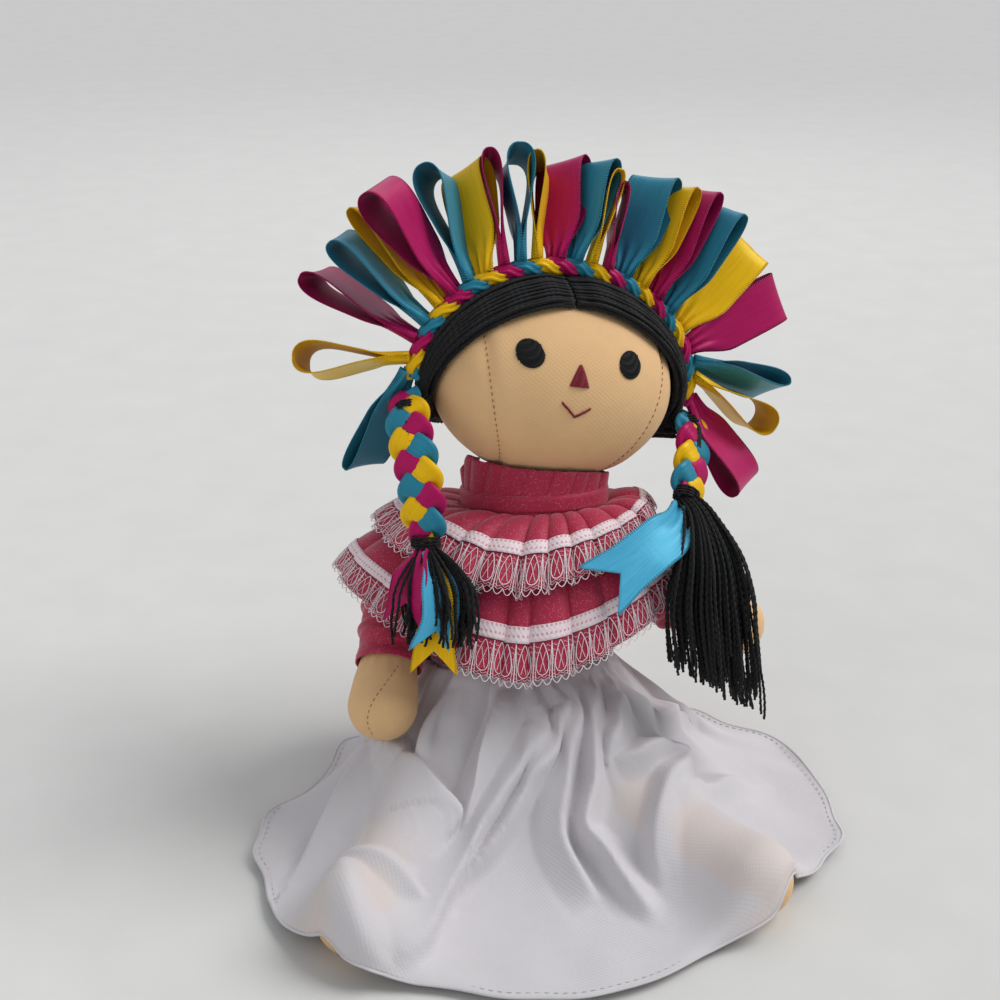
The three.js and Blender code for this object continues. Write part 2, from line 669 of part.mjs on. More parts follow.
function headRings(grow) {
  const halfHeight = HEAD_HALF_HEIGHT + grow;
  const last = Math.acos((HEAD_OPENING_HEIGHT - HEAD_RISE) / halfHeight);
  return steps(HEAD_ROWS).map((t) => {
    const polar = lerp(HEAD_POLE, last, t);
    const round = Math.sin(polar);
    return ellipseRing((HEAD_HALF_WIDTH + grow) * round, (HEAD_HALF_DEPTH + grow) * round,
      HEAD_RISE + halfHeight * Math.cos(polar), HEAD_SIDES);
  });
}

addPiece(head, 'head_skin', bag(headRings(0), headRings(-CLOTH)), skinCloth);
const fill = solidFrom(skin(headRings(-CLOTH - STUFFING_GAP)));
const RECESS_SIDES = 16;
const RECESS_ROWS = 10;
const recessRadius = NECK_DIAMETER / 2 + 2 * CLEARANCE;
const neckRecess = solidFrom(new THREE.SphereGeometry(recessRadius, RECESS_SIDES, RECESS_ROWS));
addPiece(head, 'head_stuffing', geometryOf(fill.subtract(neckRecess)), stuffing);

// Embroidered face patches that follow the head's front
function headBall(grow, across, down) {
  const ball = new THREE.SphereGeometry(1, across, down);
  ball.scale(HEAD_HALF_WIDTH + grow, HEAD_HALF_DEPTH + grow, HEAD_HALF_HEIGHT + grow);
  ball.translate(0, 0, HEAD_RISE);
  return solidFrom(ball);
}

const FACE_SIDES = 40;
const FACE_ROWS = 26;
const OUTLINE_STEPS = 8;
const faceLayer = headBall(CLEARANCE + FELT, FACE_SIDES, FACE_ROWS)
  .subtract(headBall(CLEARANCE, FACE_SIDES, FACE_ROWS));

function facePatch(outline, x, height) {
  const prism = new THREE.ExtrudeGeometry(outline, {
    depth: 2 * HEAD_HALF_DEPTH,
    bevelEnabled: false,
    curveSegments: OUTLINE_STEPS,
  });
  prism.rotateX(Math.PI / 2);
  prism.translate(FACE_SHIFT + x, 0, HEAD_RISE + height);
  return geometryOf(faceLayer.intersect(solidFrom(prism)));
}

const eyeOutline = new THREE.Shape().absarc(0, 0, EYE_DIAMETER / 2, 0, 2 * Math.PI);
const noseOutline = new THREE.Shape([
  new THREE.Vector2(-NOSE_WIDTH / 2, NOSE_BOTTOM),
  new THREE.Vector2(NOSE_WIDTH / 2, NOSE_BOTTOM),
  new THREE.Vector2(0, NOSE_TOP),
]);
const mouthOutline = new THREE.Shape([
  new THREE.Vector2(-MOUTH_WIDTH / 2, MOUTH_TOP),
  new THREE.Vector2(0, MOUTH_TOP - MOUTH_DIP),
  new THREE.Vector2(MOUTH_WIDTH / 2, MOUTH_TOP),
  new THREE.Vector2(MOUTH_WIDTH / 2 + MOUTH_LINE / 2, MOUTH_TOP - MOUTH_LINE),
  new THREE.Vector2(0, MOUTH_TOP - MOUTH_DIP - MOUTH_LINE),
  new THREE.Vector2(-MOUTH_WIDTH / 2 - MOUTH_LINE / 2, MOUTH_TOP - MOUTH_LINE),
]);
addPiece(head, 'eye_right', facePatch(eyeOutline, -EYE_SPACING / 2, EYE_HEIGHT), blackYarn);
addPiece(head, 'eye_left', facePatch(eyeOutline, EYE_SPACING / 2, EYE_HEIGHT), blackYarn);
addPiece(head, 'nose', facePatch(noseOutline, 0, 0), redThread);
addPiece(head, 'mouth', facePatch(mouthOutline, 0, 0), redThread);

// Yarn hair: a cap over the top and back of the head, open at the face and above the nape
const HAIR_SIDES = 26;
const HAIR_ROWS = 15;
const BLOCK = 4 * HEAD_HALF_WIDTH;
const faceBlock = new THREE.BoxGeometry(BLOCK, BLOCK, BLOCK);
faceBlock.translate(0, -BLOCK / 2, 0);
faceBlock.rotateX(HAIRLINE_SLANT);
faceBlock.translate(0, -HAIRLINE_FORWARD, HEAD_RISE);
const napeBlock = new THREE.BoxGeometry(BLOCK, BLOCK, BLOCK);
napeBlock.translate(0, 0, HAIR_HEM - BLOCK / 2);
const hairCap = headBall(CLEARANCE + HAIR, HAIR_SIDES, HAIR_ROWS)
  .subtract(headBall(2 * CLEARANCE, HAIR_SIDES, HAIR_ROWS))
  .subtract(solidFrom(faceBlock))
  .subtract(solidFrom(napeBlock));
addPiece(head, 'hair_cap', geometryOf(hairCap), blackYarn);

// Headband: a rope of knotted ribbon over the hair, from ear to ear
const bandOffset = HAIR + 2 * CLEARANCE + BAND_DIAMETER / 2;
const bandReach = HEAD_HALF_WIDTH + bandOffset;
const bandRise = HEAD_HALF_HEIGHT + bandOffset;

class BandArc extends THREE.Curve {
  getPoint(t) {
    const turn = lerp(Math.PI + BAND_PAST_SIDE, -BAND_PAST_SIDE, t);
    return new THREE.Vector3(
      bandReach * Math.cos(turn), -BAND_FORWARD, HEAD_RISE + bandRise * Math.sin(turn));
  }
}

const BAND_STEPS = 32;
const ROPE_SIDES = 8;
const bandArc = new BandArc();
addPiece(head, 'headband', rope(bandArc, BAND_STEPS, ROPE_SIDES, () => BAND_DIAMETER / 2), magentaSatin);

// A flat ribbon through middle points, each with its own width and way across. The far end may be notched.
function ribbon(middles, across, widths, notch = 0) {
  const last = middles.length - 1;
  return skin(middles.map((middle, k) => {
    const ahead = middles[Math.min(k + 1, last)].clone().sub(middles[Math.max(k - 1, 0)]).normalize();
    const side = across[k].clone().addScaledVector(ahead, -across[k].dot(ahead)).normalize();
    const face = ahead.clone().cross(side).multiplyScalar(RIBBON / 2);
    const edge = side.multiplyScalar(widths[k] / 2);
    if (!notch) {
      return [[1, 1], [-1, 1], [-1, -1], [1, -1]].map(([a, b]) => (
        middle.clone().addScaledVector(edge, a).addScaledVector(face, b)));
    }
    const pulled = k === last ? ahead.clone().multiplyScalar(-notch) : new THREE.Vector3();
    return [[1, 1], [0, 1], [-1, 1], [-1, -1], [0, -1], [1, -1]].map(([a, b]) => {
      const corner = middle.clone().addScaledVector(edge, a).addScaledVector(face, b);
      return a === 0 ? corner.add(pulled) : corner;
    });
  }));
}

const LOOP_STEPS = 11;

// One loop of the crown: out from the headband, round its tip and back, pinched where it is tied
function crownLoop(index) {
  const place = (2 * index - (LOOP_COUNT - 1)) / (LOOP_COUNT - 1);
  const spread = Math.abs(place);
  const tilt = LOOP_FAN * spread ** 2 + LOOP_DROOP * spread ** DROOP_POWER;
  const aim = Math.PI / 2 - Math.sign(place) * tilt;
  const base = bandArc.getPointAt(lerp(LOOP_MARGIN, 1 - LOOP_MARGIN, (1 + place) / 2));
  const bandTurn = Math.atan2((base.z - HEAD_RISE) / bandRise, base.x / bandReach);
  const outward = new THREE.Vector3(Math.cos(bandTurn) / bandReach, 0, Math.sin(bandTurn) / bandRise);
  outward.normalize();
  base.addScaledVector(outward, BAND_DIAMETER / 2 + LOOP_SEAT);
  const leanBack = LOOP_LEAN_BACK * (1 - spread ** LEAN_POWER);
  const along = new THREE.Vector3(
    Math.cos(aim) * Math.cos(leanBack), Math.sin(leanBack), Math.sin(aim) * Math.cos(leanBack));
  const front = new THREE.Vector3(0, -1, 0).addScaledVector(along, along.y).normalize();
  const tangent = front.clone().cross(along);
  const leftness = smoothstep(place, ...TWIST_GROWS) * (1 - smoothstep(place, ...TWIST_FADES));
  const twist = lerp(LOOP_TWIST_RIGHT, LOOP_TWIST_LEFT, leftness);
  const opening = lerp(LOOP_OPENING_RIGHT, LOOP_OPENING_LEFT, smoothstep(place, ...LOOPS_CLOSE));
  const width = front.clone().multiplyScalar(Math.cos(twist)).addScaledVector(tangent, -Math.sin(twist));
  const gape = along.clone().cross(width);
  const middles = [];
  const widths = [];
  steps(LOOP_STEPS).forEach((t) => {
    const out = Math.sin(Math.PI * t);
    const split = (2 * t - 1) * -(RIBBON / 2 + CLEARANCE) + opening * Math.sin(2 * Math.PI * t);
    middles.push(base.clone().addScaledVector(along, LOOP_LENGTH * out).addScaledVector(gape, split));
    widths.push(lerp(LOOP_PINCH, LOOP_WIDTH, smoothstep(out, ...LOOP_WIDENS)));
  });
  return ribbon(middles, middles.map(() => width), widths);
}

const satins = [blueSatin, yellowSatin, magentaSatin];
for (let index = 0; index < LOOP_COUNT; index += 1) {
  const number = String(index + 1).padStart(2, '0');
  addPiece(head, `ribbon_loop_${number}`, crownLoop(index), satins[index % satins.length]);
}

// Plaits: from the ends of the headband, over the ruffles, to a tie with a yarn tassel below it
root.updateMatrixWorld(true);
const onTorso = (surface, place, radius) => (
  clothPoint(surface, place.fall, place.turn, place.lift + radius).applyMatrix4(torso.matrixWorld));
const bandEnd = (t) => head.localToWorld(bandArc.getPointAt(t));
const bandWay = (t, sign) => (
  bandArc.getTangentAt(t).multiplyScalar(sign).transformDirection(head.matrixWorld));

const PLAIT_STEPS = 24;
const TASSEL_STEPS = 12;
const TASSEL_SIDES = 12;

// The plait's top is round, so that it can swing under the end of the headband
function plaitRadius(length) {
  return (t) => {
    const lumps = 1 - LUMP_DEPTH * (1 - Math.cos(2 * Math.PI * PLAIT_LUMPS * t));
    const swell = smoothstep(t, ...PLAIT_SWELLS) * (1 - smoothstep(t, ...PLAIT_NARROWS));
    const belowTop = Math.min((2 * t * length) / BAND_DIAMETER, 1);
    const dome = Math.max(Math.sqrt(1 - (1 - belowTop) ** 2), PLAIT_TIP);
    return lerp(BAND_DIAMETER / 2, PLAIT_DIAMETER / 2, swell) * lumps * dome;
  };
}

function tasselRadius(diameter) {
  return (t) => {
    const spread = lerp(TIE_DIAMETER / 2, diameter / 2, smoothstep(t, ...TASSEL_SPREADS));
    return spread * (1 - TASSEL_TAPER * smoothstep(t, ...TASSEL_NARROWS));
  };
}

function addPlait(side, way, end, drift, tie) {
  const start = end.clone().addScaledVector(way, CLEARANCE);
  const straight = start.clone().addScaledVector(way, PLAIT_STRAIGHT);
  const clearOfHair = start.clone().addScaledVector(way, PLAIT_DIAMETER * PLAIT_REACH).add(drift);
  const plaitCurve = new THREE.CatmullRomCurve3([start, straight, clearOfHair, tie]);
  const body = rope(plaitCurve, PLAIT_STEPS, ROPE_SIDES, plaitRadius(plaitCurve.getLength()));
  addPiece(root, `braid_${side}`, body, magentaSatin);
  const tieWay = plaitCurve.getTangentAt(1);
  return { top: tie.clone().addScaledVector(tieWay, CLEARANCE), way: tieWay };
}

function addTassel(side, knot, diameter, points) {
  const straight = knot.top.clone().addScaledVector(knot.way, TASSEL_STRAIGHT);
  const curve = new THREE.CatmullRomCurve3([knot.top, straight, ...points]);
  const body = rope(curve, TASSEL_STEPS, TASSEL_SIDES, tasselRadius(diameter));
  addPiece(root, `tassel_${side}`, body, blackYarn);
  return curve;
}

const rightTie = onTorso(upperSurface, RIGHT_TIE, PLAIT_DIAMETER / 2);
const rightKnot = addPlait('right', bandWay(0, -1), bandEnd(0), RIGHT_DRIFT, rightTie);
const rightHang = onTorso(lowerSurface, RIGHT_HANG, TASSEL_RIGHT_DIAMETER / 2);
const rightTassel = addTassel('right', rightKnot, TASSEL_RIGHT_DIAMETER, [
  onTorso(upperSurface, RIGHT_EDGE, TASSEL_RIGHT_DIAMETER / 2),
  rightHang,
  rightHang.clone().add(RIGHT_DROP),
]);

const leftTie = onTorso(upperSurface, LEFT_TIE, PLAIT_DIAMETER / 2);
const leftKnot = addPlait('left', bandWay(1, 1), bandEnd(1), LEFT_DRIFT, leftTie);
const leftHang = onTorso(lowerSurface, LEFT_HANG, TASSEL_LEFT_DIAMETER / 2);
addTassel('left', leftKnot, TASSEL_LEFT_DIAMETER, [
  leftHang,
  new THREE.Vector3(leftHang.x + LEFT_SPREAD, leftHang.y, leftTie.z - TASSEL_LEFT_LENGTH),
]);

// Ribbon tails: swallow-tailed ends that hang from the ties, the right pair down the front of its tassel
function squareTo(direction, way) {
  return direction.clone().addScaledVector(way, -direction.dot(way)).normalize();
}

function tailDownTassel(curve, diameter, faces, places, stray) {
  const middles = [];
  const across = [];
  places.forEach((t) => {
    const way = curve.getTangentAt(t);
    const outward = squareTo(faces, way);
    const reach = tasselRadius(diameter)(t) + 2 * CLEARANCE + RIBBON;
    middles.push(curve.getPointAt(t).addScaledVector(outward, reach));
    across.push(outward.cross(way));
  });
  middles.push(middles[middles.length - 1].clone().add(stray));
  across.push(across[across.length - 1]);
  const widths = middles.map((_, k) => lerp(TAIL_PINCH, TAIL_WIDTH, Math.min(k, 2) / 2));
  return ribbon(middles, across, widths, TAIL_NOTCH);
}

const blueTail = tailDownTassel(rightTassel, TASSEL_RIGHT_DIAMETER, BLUE_FACES, BLUE_ALONG, BLUE_STRAY);
addPiece(root, 'ribbon_tail_blue_right', blueTail, blueSatin);
const yellowTail = tailDownTassel(
  rightTassel, TASSEL_RIGHT_DIAMETER, YELLOW_FACES, YELLOW_ALONG, YELLOW_STRAY);
addPiece(root, 'ribbon_tail_yellow_right', yellowTail, yellowSatin);

const leftTailWay = squareTo(LEFT_TAIL_WAY, leftKnot.way);
const leftTailStart = leftKnot.top.clone().addScaledVector(leftTailWay, TIE_DIAMETER / 2 + LEFT_TAIL_GAP);
const leftTailMiddles = [
  leftTailStart,
  leftTailStart.clone().addScaledVector(LEFT_TAIL_WAY, LEFT_TAIL_STRAIGHT),
  onTorso(upperSurface, LEFT_TAIL_BEND, TAIL_WIDTH / 2),
  onTorso(upperSurface, LEFT_TAIL_END, TAIL_WIDTH / 2),
];
const leftTailAcross = leftTailMiddles.map(() => LEFT_TAIL_ACROSS);
const leftTailWidths = [TAIL_PINCH, TAIL_WIDTH, TAIL_WIDTH, TAIL_WIDTH];
const leftTail = ribbon(leftTailMiddles, leftTailAcross, leftTailWidths, TAIL_NOTCH);
addPiece(root, 'ribbon_tail_blue_left', leftTail, blueSatin);

export default root;
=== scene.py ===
"""Dresses the seated cloth doll: stuffed body, ruffled blouse, gathered skirt, yarn hair and ribbon crown."""
import math
import random

import bmesh
import bpy
import numpy as np
from bpy.props import FloatProperty, FloatVectorProperty, IntProperty, PointerProperty
from mathutils import Matrix, Vector


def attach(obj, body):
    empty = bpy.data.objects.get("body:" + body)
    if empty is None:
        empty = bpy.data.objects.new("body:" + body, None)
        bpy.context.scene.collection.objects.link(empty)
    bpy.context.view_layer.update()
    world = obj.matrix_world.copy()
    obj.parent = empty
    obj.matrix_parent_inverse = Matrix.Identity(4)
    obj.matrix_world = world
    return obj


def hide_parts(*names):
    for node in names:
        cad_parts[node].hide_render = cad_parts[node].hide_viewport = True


bl_info = {
    "name": "Seated cloth doll",
    "version": (1, 0, 0),
    "blender": (4, 5, 0),
    "location": "3D View > Sidebar > Doll",
    "description": "Builds the visible cloth, yarn and ribbon of a seated doll on its packed frame",
    "category": "Object",
}

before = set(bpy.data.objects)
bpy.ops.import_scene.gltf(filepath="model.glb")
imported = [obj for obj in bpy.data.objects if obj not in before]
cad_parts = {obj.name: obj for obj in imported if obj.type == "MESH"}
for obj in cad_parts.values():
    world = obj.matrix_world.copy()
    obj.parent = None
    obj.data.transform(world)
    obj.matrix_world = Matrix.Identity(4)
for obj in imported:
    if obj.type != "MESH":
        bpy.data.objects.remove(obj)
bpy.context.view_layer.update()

MM = 0.001
TAU = 2 * math.pi

# How the torso leans and how the head sits on the neck
LEAN = math.radians(12)
NECK = Vector((7, 0, 103)) * MM
HEAD_TURN = math.radians(17)
HEAD_ROLL = math.radians(9)
HEAD_NOD = math.radians(4)
TORSO = Matrix.Rotation(-LEAN, 4, "X")
HEAD = (
    TORSO
    @ Matrix.Translation(NECK)
    @ Matrix.Rotation(HEAD_TURN, 4, "Z")
    @ Matrix.Rotation(HEAD_ROLL, 4, "Y")
    @ Matrix.Rotation(HEAD_NOD, 4, "X")
)
HEAD_HALF = np.array((37, 27, 28)) * MM
HEAD_MIDDLE = np.array((0, 0, 26)) * MM

# The torso's width and depth by height along its own axis, in millimetres
TORSO_STATIONS = np.array((
    (0, 56, 45), (14, 62, 50), (29, 60, 48), (44, 50, 40), (72, 45, 35), (93, 39, 32), (99, 23, 23),
    (103, 23, 23),
))
NECK_SHIFT = 7
CHEST_HEIGHT = 72
NECK_HEIGHT = 99
NECK_TOP = 103
SEAT_DEPTH = 10
DOME_HEIGHT = 11.5

# Routes of the plaits and tassels, in millimetres
PLAIT_RIGHT = (
    (-31.6, 11.8, 129.3), (-31.6, 5, 125.5), (-30.6, -2, 119.5), (-29.0, -7.5, 112.6),
    (-27.9, -11.5, 103.2), (-27.5, -14, 93.5),
)
PLAIT_LEFT = (
    (53.8, 34.6, 112.2), (55.0, 30, 109.0), (54.0, 23, 104.6), (52.2, 16.5, 99.6), (50.2, 10, 94.6),
)
TASSEL_RIGHT = (
    (-27.5, -14.2, 93.3), (-26.6, -20.5, 87.5), (-25.6, -24.0, 78.5), (-26.4, -28.5, 69.0),
)
TASSEL_LEFT = (
    (50.2, 9.8, 94.4), (52.6, 0.5, 92.5), (54.0, -11, 84.0), (54.2, -16, 72.0), (56.5, -15.5, 54.0),
    (60.2, -12.8, 31.0),
)


class DollColours(bpy.types.PropertyGroup):
    """Colours of the doll's cloth, yarn and ribbon."""

    skin: FloatVectorProperty(
        name="Skin cotton", description="Head, arms and legs", subtype="COLOR", default=(0.77, 0.485, 0.24))
    pink: FloatVectorProperty(
        name="Blouse", description="Blouse, ruffles and sleeves", subtype="COLOR",
        default=(0.43, 0.018, 0.062))
    white: FloatVectorProperty(
        name="Skirt cotton", description="Skirt and waistband", subtype="COLOR", default=(0.62, 0.59, 0.61))
    lace: FloatVectorProperty(
        name="Lace", description="Lace edging", subtype="COLOR", default=(0.86, 0.74, 0.77))
    yarn: FloatVectorProperty(
        name="Yarn", description="Hair, tassels and eyes", subtype="COLOR", default=(0.006, 0.006, 0.007))
    red: FloatVectorProperty(
        name="Red thread", description="Nose and mouth", subtype="COLOR", default=(0.23, 0.008, 0.022))
    seam: FloatVectorProperty(
        name="Seam thread", description="Seam stitches in the skin", subtype="COLOR",
        default=(0.42, 0.13, 0.05))
    blue: FloatVectorProperty(
        name="Blue ribbon", description="Blue satin", subtype="COLOR", default=(0.027, 0.21, 0.31))
    # A lighter copy of the blue satin for the blue tails: painted light on their lit faces.
    painted_lit_blue: FloatVectorProperty(
        name="Blue tail", description="The bright face of the blue tails", subtype="COLOR",
        default=(0.075, 0.40, 0.62))
    yellow: FloatVectorProperty(
        name="Yellow ribbon", description="Yellow satin", subtype="COLOR", default=(0.9, 0.47, 0.008))
    magenta: FloatVectorProperty(
        name="Magenta ribbon", description="Magenta satin", subtype="COLOR", default=(0.41, 0.009, 0.1))
    floor: FloatVectorProperty(
        name="Floor", description="The pale floor", subtype="COLOR", default=(0.66, 0.65, 0.63))


class DollThreads(bpy.types.PropertyGroup):
    """Sizes of the yarn, thread and stitches."""

    yarn: FloatProperty(
        name="Yarn", description="Thickness of the hair's yarn", default=0.0014, unit="LENGTH")
    tassel_yarn: FloatProperty(
        name="Tassel yarn", description="Thickness of the tassels' yarn", default=0.001, unit="LENGTH")
    thread: FloatProperty(
        name="Embroidery thread", description="Thickness of the face's thread", default=0.0005, unit="LENGTH")
    stitch: FloatProperty(
        name="Stitch", description="Length of one seam stitch", default=0.0011, unit="LENGTH")
    hair_strands: IntProperty(
        name="Hair strands", description="Strands in one layer on one side", default=58)
    tassel_right: IntProperty(
        name="Right tassel", description="Strands in the right tassel", default=120)
    tassel_left: IntProperty(
        name="Left tassel", description="Strands in the left tassel", default=190)


class DollClothes(bpy.types.PropertyGroup):
    """Sizes of the blouse, lace and skirt."""

    pleats: IntProperty(name="Pleats", description="Pleats round each ruffle", default=24)
    pleat_depth: FloatProperty(
        name="Pleat depth", description="How far a pleat stands out at the hem", default=0.0048,
        unit="LENGTH")
    cloth: FloatProperty(
        name="Cloth", description="Thickness of the cotton and satin", default=0.0004, unit="LENGTH")
    lace_width: FloatProperty(
        name="Lace width", description="From tape to scallop tips", default=0.0115, unit="LENGTH")
    lace_motif: FloatProperty(
        name="Lace motif", description="Width of one drop and one fan", default=0.0054, unit="LENGTH")
    gathers: IntProperty(name="Gathers", description="Small gathers at the skirt's waist", default=26)


class DollRibbons(bpy.types.PropertyGroup):
    """Sizes of the ribbon."""

    width: FloatProperty(name="Ribbon width", description="Width of the satin", default=0.0155, unit="LENGTH")
    satin: FloatProperty(name="Satin", description="Thickness of the ribbon", default=0.00035, unit="LENGTH")


class DollStage(bpy.types.PropertyGroup):
    """Light and camera."""

    key: FloatProperty(name="Key light", description="Strength of the large light", default=2.1, min=0.0)
    fill: FloatProperty(name="Fill light", description="Strength of the soft fill", default=1.6, unit="POWER")
    lens: FloatProperty(
        name="Lens", description="Focal length in millimetres on a 36 mm sensor", default=57.6)


def colours():
    return bpy.context.scene.doll_colours


def threads():
    return bpy.context.scene.doll_threads


def clothes():
    return bpy.context.scene.doll_clothes


def ribbons():
    return bpy.context.scene.doll_ribbons


# Numbers and curves


def ramp(low, high, value):
    """Rises smoothly from 0 at low to 1 at high."""
    share = np.clip((np.asarray(value, float) - low) / (high - low), 0, 1)
    return share * share * (3 - 2 * share)


def mix(a, b, share):
    return a + (b - a) * share


def unit(vectors):
    vectors = np.asarray(vectors, float)
    return vectors / np.maximum(np.linalg.norm(vectors, axis=-1, keepdims=True), 1e-12)


def place(points, matrix):
    """Points in a body's own frame, put in the shared frame."""
    m = np.array(matrix)
    return np.asarray(points) @ m[:3, :3].T + m[:3, 3]


def route(points, count):
    """A smooth line through the points, as evenly spaced points."""
    p = np.asarray(points, float)
    p = np.vstack((2 * p[0] - p[1], p, 2 * p[-1] - p[-2]))
    fine = []
    for k in range(1, len(p) - 2):
        t = np.linspace(0, 1, 24, endpoint=False)[:, None]
        a, b, c, d = p[k - 1: k + 3]
        curve = 2 * b + (c - a) * t + (2 * a - 5 * b + 4 * c - d) * t**2 + (3 * b - a - 3 * c + d) * t**3
        fine.append(0.5 * curve)
    return evenly(np.vstack((*fine, p[-2])), count)


def evenly(line, count):
    """The same line as evenly spaced points."""
    steps = np.linalg.norm(np.diff(line, axis=0), axis=1)
    length = np.concatenate(((0,), np.cumsum(steps)))
    at = np.linspace(0, length[-1], count)
    return np.stack([np.interp(at, length, line[:, k]) for k in range(3)], axis=1)


def path_frames(path, facing):
    """Tangents, sides and fronts along a path, each front as near to facing as the path lets it be."""
    tangent = unit(np.gradient(path, axis=0))
    facing = np.broadcast_to(np.asarray(facing, float), path.shape)
    front = unit(facing - tangent * np.sum(facing * tangent, axis=1, keepdims=True))
    return tangent, np.cross(tangent, front), front


def bell(away, width):
    """One at no distance away, and smoothly less with more of it."""
    return np.exp(-((away / width) ** 2))


# Meshes


def link(name, mesh):
    piece = bpy.data.objects.new(name, mesh)
    bpy.context.scene.collection.objects.link(piece)
    return piece


def add_grid(name, points, material, around=False):
    """A sheet of quads through rows of points, with a UV map in metres along and down the cloth."""
    rows, cols = points.shape[:2]
    loops = cols if around else cols - 1
    closed = np.concatenate((points, points[:, :1]), axis=1) if around else points
    across = np.linalg.norm(np.diff(closed, axis=1), axis=2).mean(axis=0)
    down = np.linalg.norm(np.diff(points, axis=0), axis=2).mean(axis=1)
    u = np.concatenate(((0,), np.cumsum(across)))
    v = np.concatenate(((0,), np.cumsum(down)))
    faces = []
    corners = []
    for r in range(rows - 1):
        for c in range(loops):
            d = (c + 1) % cols
            faces.append((r * cols + c, r * cols + d, (r + 1) * cols + d, (r + 1) * cols + c))
            corners.extend((u[c], v[r], u[c + 1], v[r], u[c + 1], v[r + 1], u[c], v[r + 1]))
    mesh = bpy.data.meshes.new(name)
    mesh.from_pydata(points.reshape(-1, 3).tolist(), [], faces)
    mesh.uv_layers.new(name="UVMap").data.foreach_set("uv", corners)
    mesh.materials.append(material)
    mesh.shade_smooth()
    return link(name, mesh)


def close_ends(piece):
    """Fills the open end rings of a tube and turns every face outwards."""
    mesh = bmesh.new()
    mesh.from_mesh(piece.data)
    ends = [edge for edge in mesh.edges if edge.is_boundary]
    caps = bmesh.ops.edgeloop_fill(mesh, edges=ends)["faces"]
    bmesh.ops.poke(mesh, faces=caps)
    bmesh.ops.recalc_face_normals(mesh, faces=mesh.faces)
    mesh.to_mesh(piece.data)
    mesh.free()
    piece.data.shade_smooth()
    return piece


def bake(piece):
    """Turns the piece's modifiers into its mesh."""
    bpy.context.view_layer.update()
    graph = bpy.context.evaluated_depsgraph_get()
    shaped = piece.evaluated_get(graph)
    mesh = bpy.data.meshes.new_from_object(shaped, preserve_all_data_layers=True, depsgraph=graph)
    old = piece.data
    piece.modifiers.clear()
    piece.data = mesh
    bpy.data.meshes.remove(old)
    mesh.name = piece.name
    return piece


def thicken(piece, thickness, offset=0.0):
    """Gives a sheet its thickness."""
    solid = piece.modifiers.new("Thickness", "SOLIDIFY")
    solid.thickness = thickness
    solid.offset = offset
    return bake(piece)


def join(pieces, name):
    """One mesh from several, with all their materials."""
    with bpy.context.temp_override(
        active_object=pieces[0], selected_objects=pieces, selected_editable_objects=pieces
    ):
        bpy.ops.object.join()
    pieces[0].name = name
    pieces[0].data.name = name
    return pieces[0]


def vertex_points(piece):
    flat = np.empty(len(piece.data.vertices) * 3)
    piece.data.vertices.foreach_get("co", flat)
    return flat.reshape(-1, 3)


def settle(piece, body, slot, *nodes):
    """Puts a finished piece on its body, for the nodes it stands for; the slot is not used."""
    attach(piece, body)
    if nodes:
        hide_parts(*nodes)
    return piece


def wrap(name, points, material, thickness, offset=0.0):
    """A sheet of cloth that goes right round what it lies on."""
    return thicken(add_grid(name, points, material, around=True), thickness, offset)


def stuff(name, points, body, fill, *nodes):
    """A stuffed piece of skin cotton, closed at both ends."""
    piece = close_ends(add_grid(name, points, skin_cotton(), around=True))
    settle(piece, body, "skin_cotton", *nodes)


# Node trees


def node(tree, kind, inputs=None, **settings):
    """Adds a node with these settings; each input is a socket to link or a plain value."""
    made = tree.nodes.new(kind)
    for name, value in settings.items():
        setattr(made, name, value)
    for socket, value in (inputs or {}).items():
        if isinstance(value, bpy.types.NodeSocket):
            tree.links.new(value, made.inputs[socket])
        else:
            made.inputs[socket].default_value = value
    return made


def math_node(tree, operation, *values):
    return node(tree, "ShaderNodeMath", dict(enumerate(values)), operation=operation).outputs[0]


def weighted(tree, first, first_weight, second, second_weight):
    """The sum of two values, each with its weight."""
    return math_node(tree, "ADD", math_node(tree, "MULTIPLY", first, first_weight),
                     math_node(tree, "MULTIPLY", second, second_weight))


def new_group(kind, name, inputs, outputs, output_form):
    """An empty node group: its tree, the sockets that it is given and its last node."""
    tree = bpy.data.node_groups.new(name, kind)
    for socket, form, default in inputs:
        made = tree.interface.new_socket(socket, in_out="INPUT", socket_type=f"NodeSocket{form}")
        if default is not None:
            made.default_value = default
    for socket in outputs:
        tree.interface.new_socket(socket, in_out="OUTPUT", socket_type=f"NodeSocket{output_form}")
    return tree, tree.nodes.new("NodeGroupInput").outputs, tree.nodes.new("NodeGroupOutput")


def new_tree(name, inputs):
    """A geometry node tree with these inputs and a material."""
    inputs = (("Geometry", "Geometry", None), *inputs, ("Material", "Material", None))
    return new_group("GeometryNodeTree", name, inputs, ("Geometry",), "Geometry")


def shader_group(name, inputs, outputs):
    """A shader node group that gives values by place."""
    return new_group("ShaderNodeTree", name, (("Vector", "Vector", None), *inputs), outputs, "Float")


def run_tree(piece, tree, **values):
    """Runs a tree on a piece with the named inputs and keeps its result as the piece's mesh."""
    modifier = piece.modifiers.new(tree.name, "NODES")
    modifier.node_group = tree
    for socket in tree.interface.items_tree:
        if socket.in_out == "INPUT" and socket.name in values:
            modifier[socket.identifier] = values[socket.name]
    return bake(piece)


def finish_tree(tree, given, end, geometry):
    """Realises what the tree made and gives it its material."""
    real = node(tree, "GeometryNodeRealizeInstances", {"Geometry": geometry})
    smooth = node(tree, "GeometryNodeSetShadeSmooth", {"Geometry": real.outputs[0]})
    paint = node(tree, "GeometryNodeSetMaterial", {
        "Geometry": smooth.outputs[0], "Material": given["Material"]})
    tree.links.new(paint.outputs[0], end.inputs["Geometry"])
    return tree


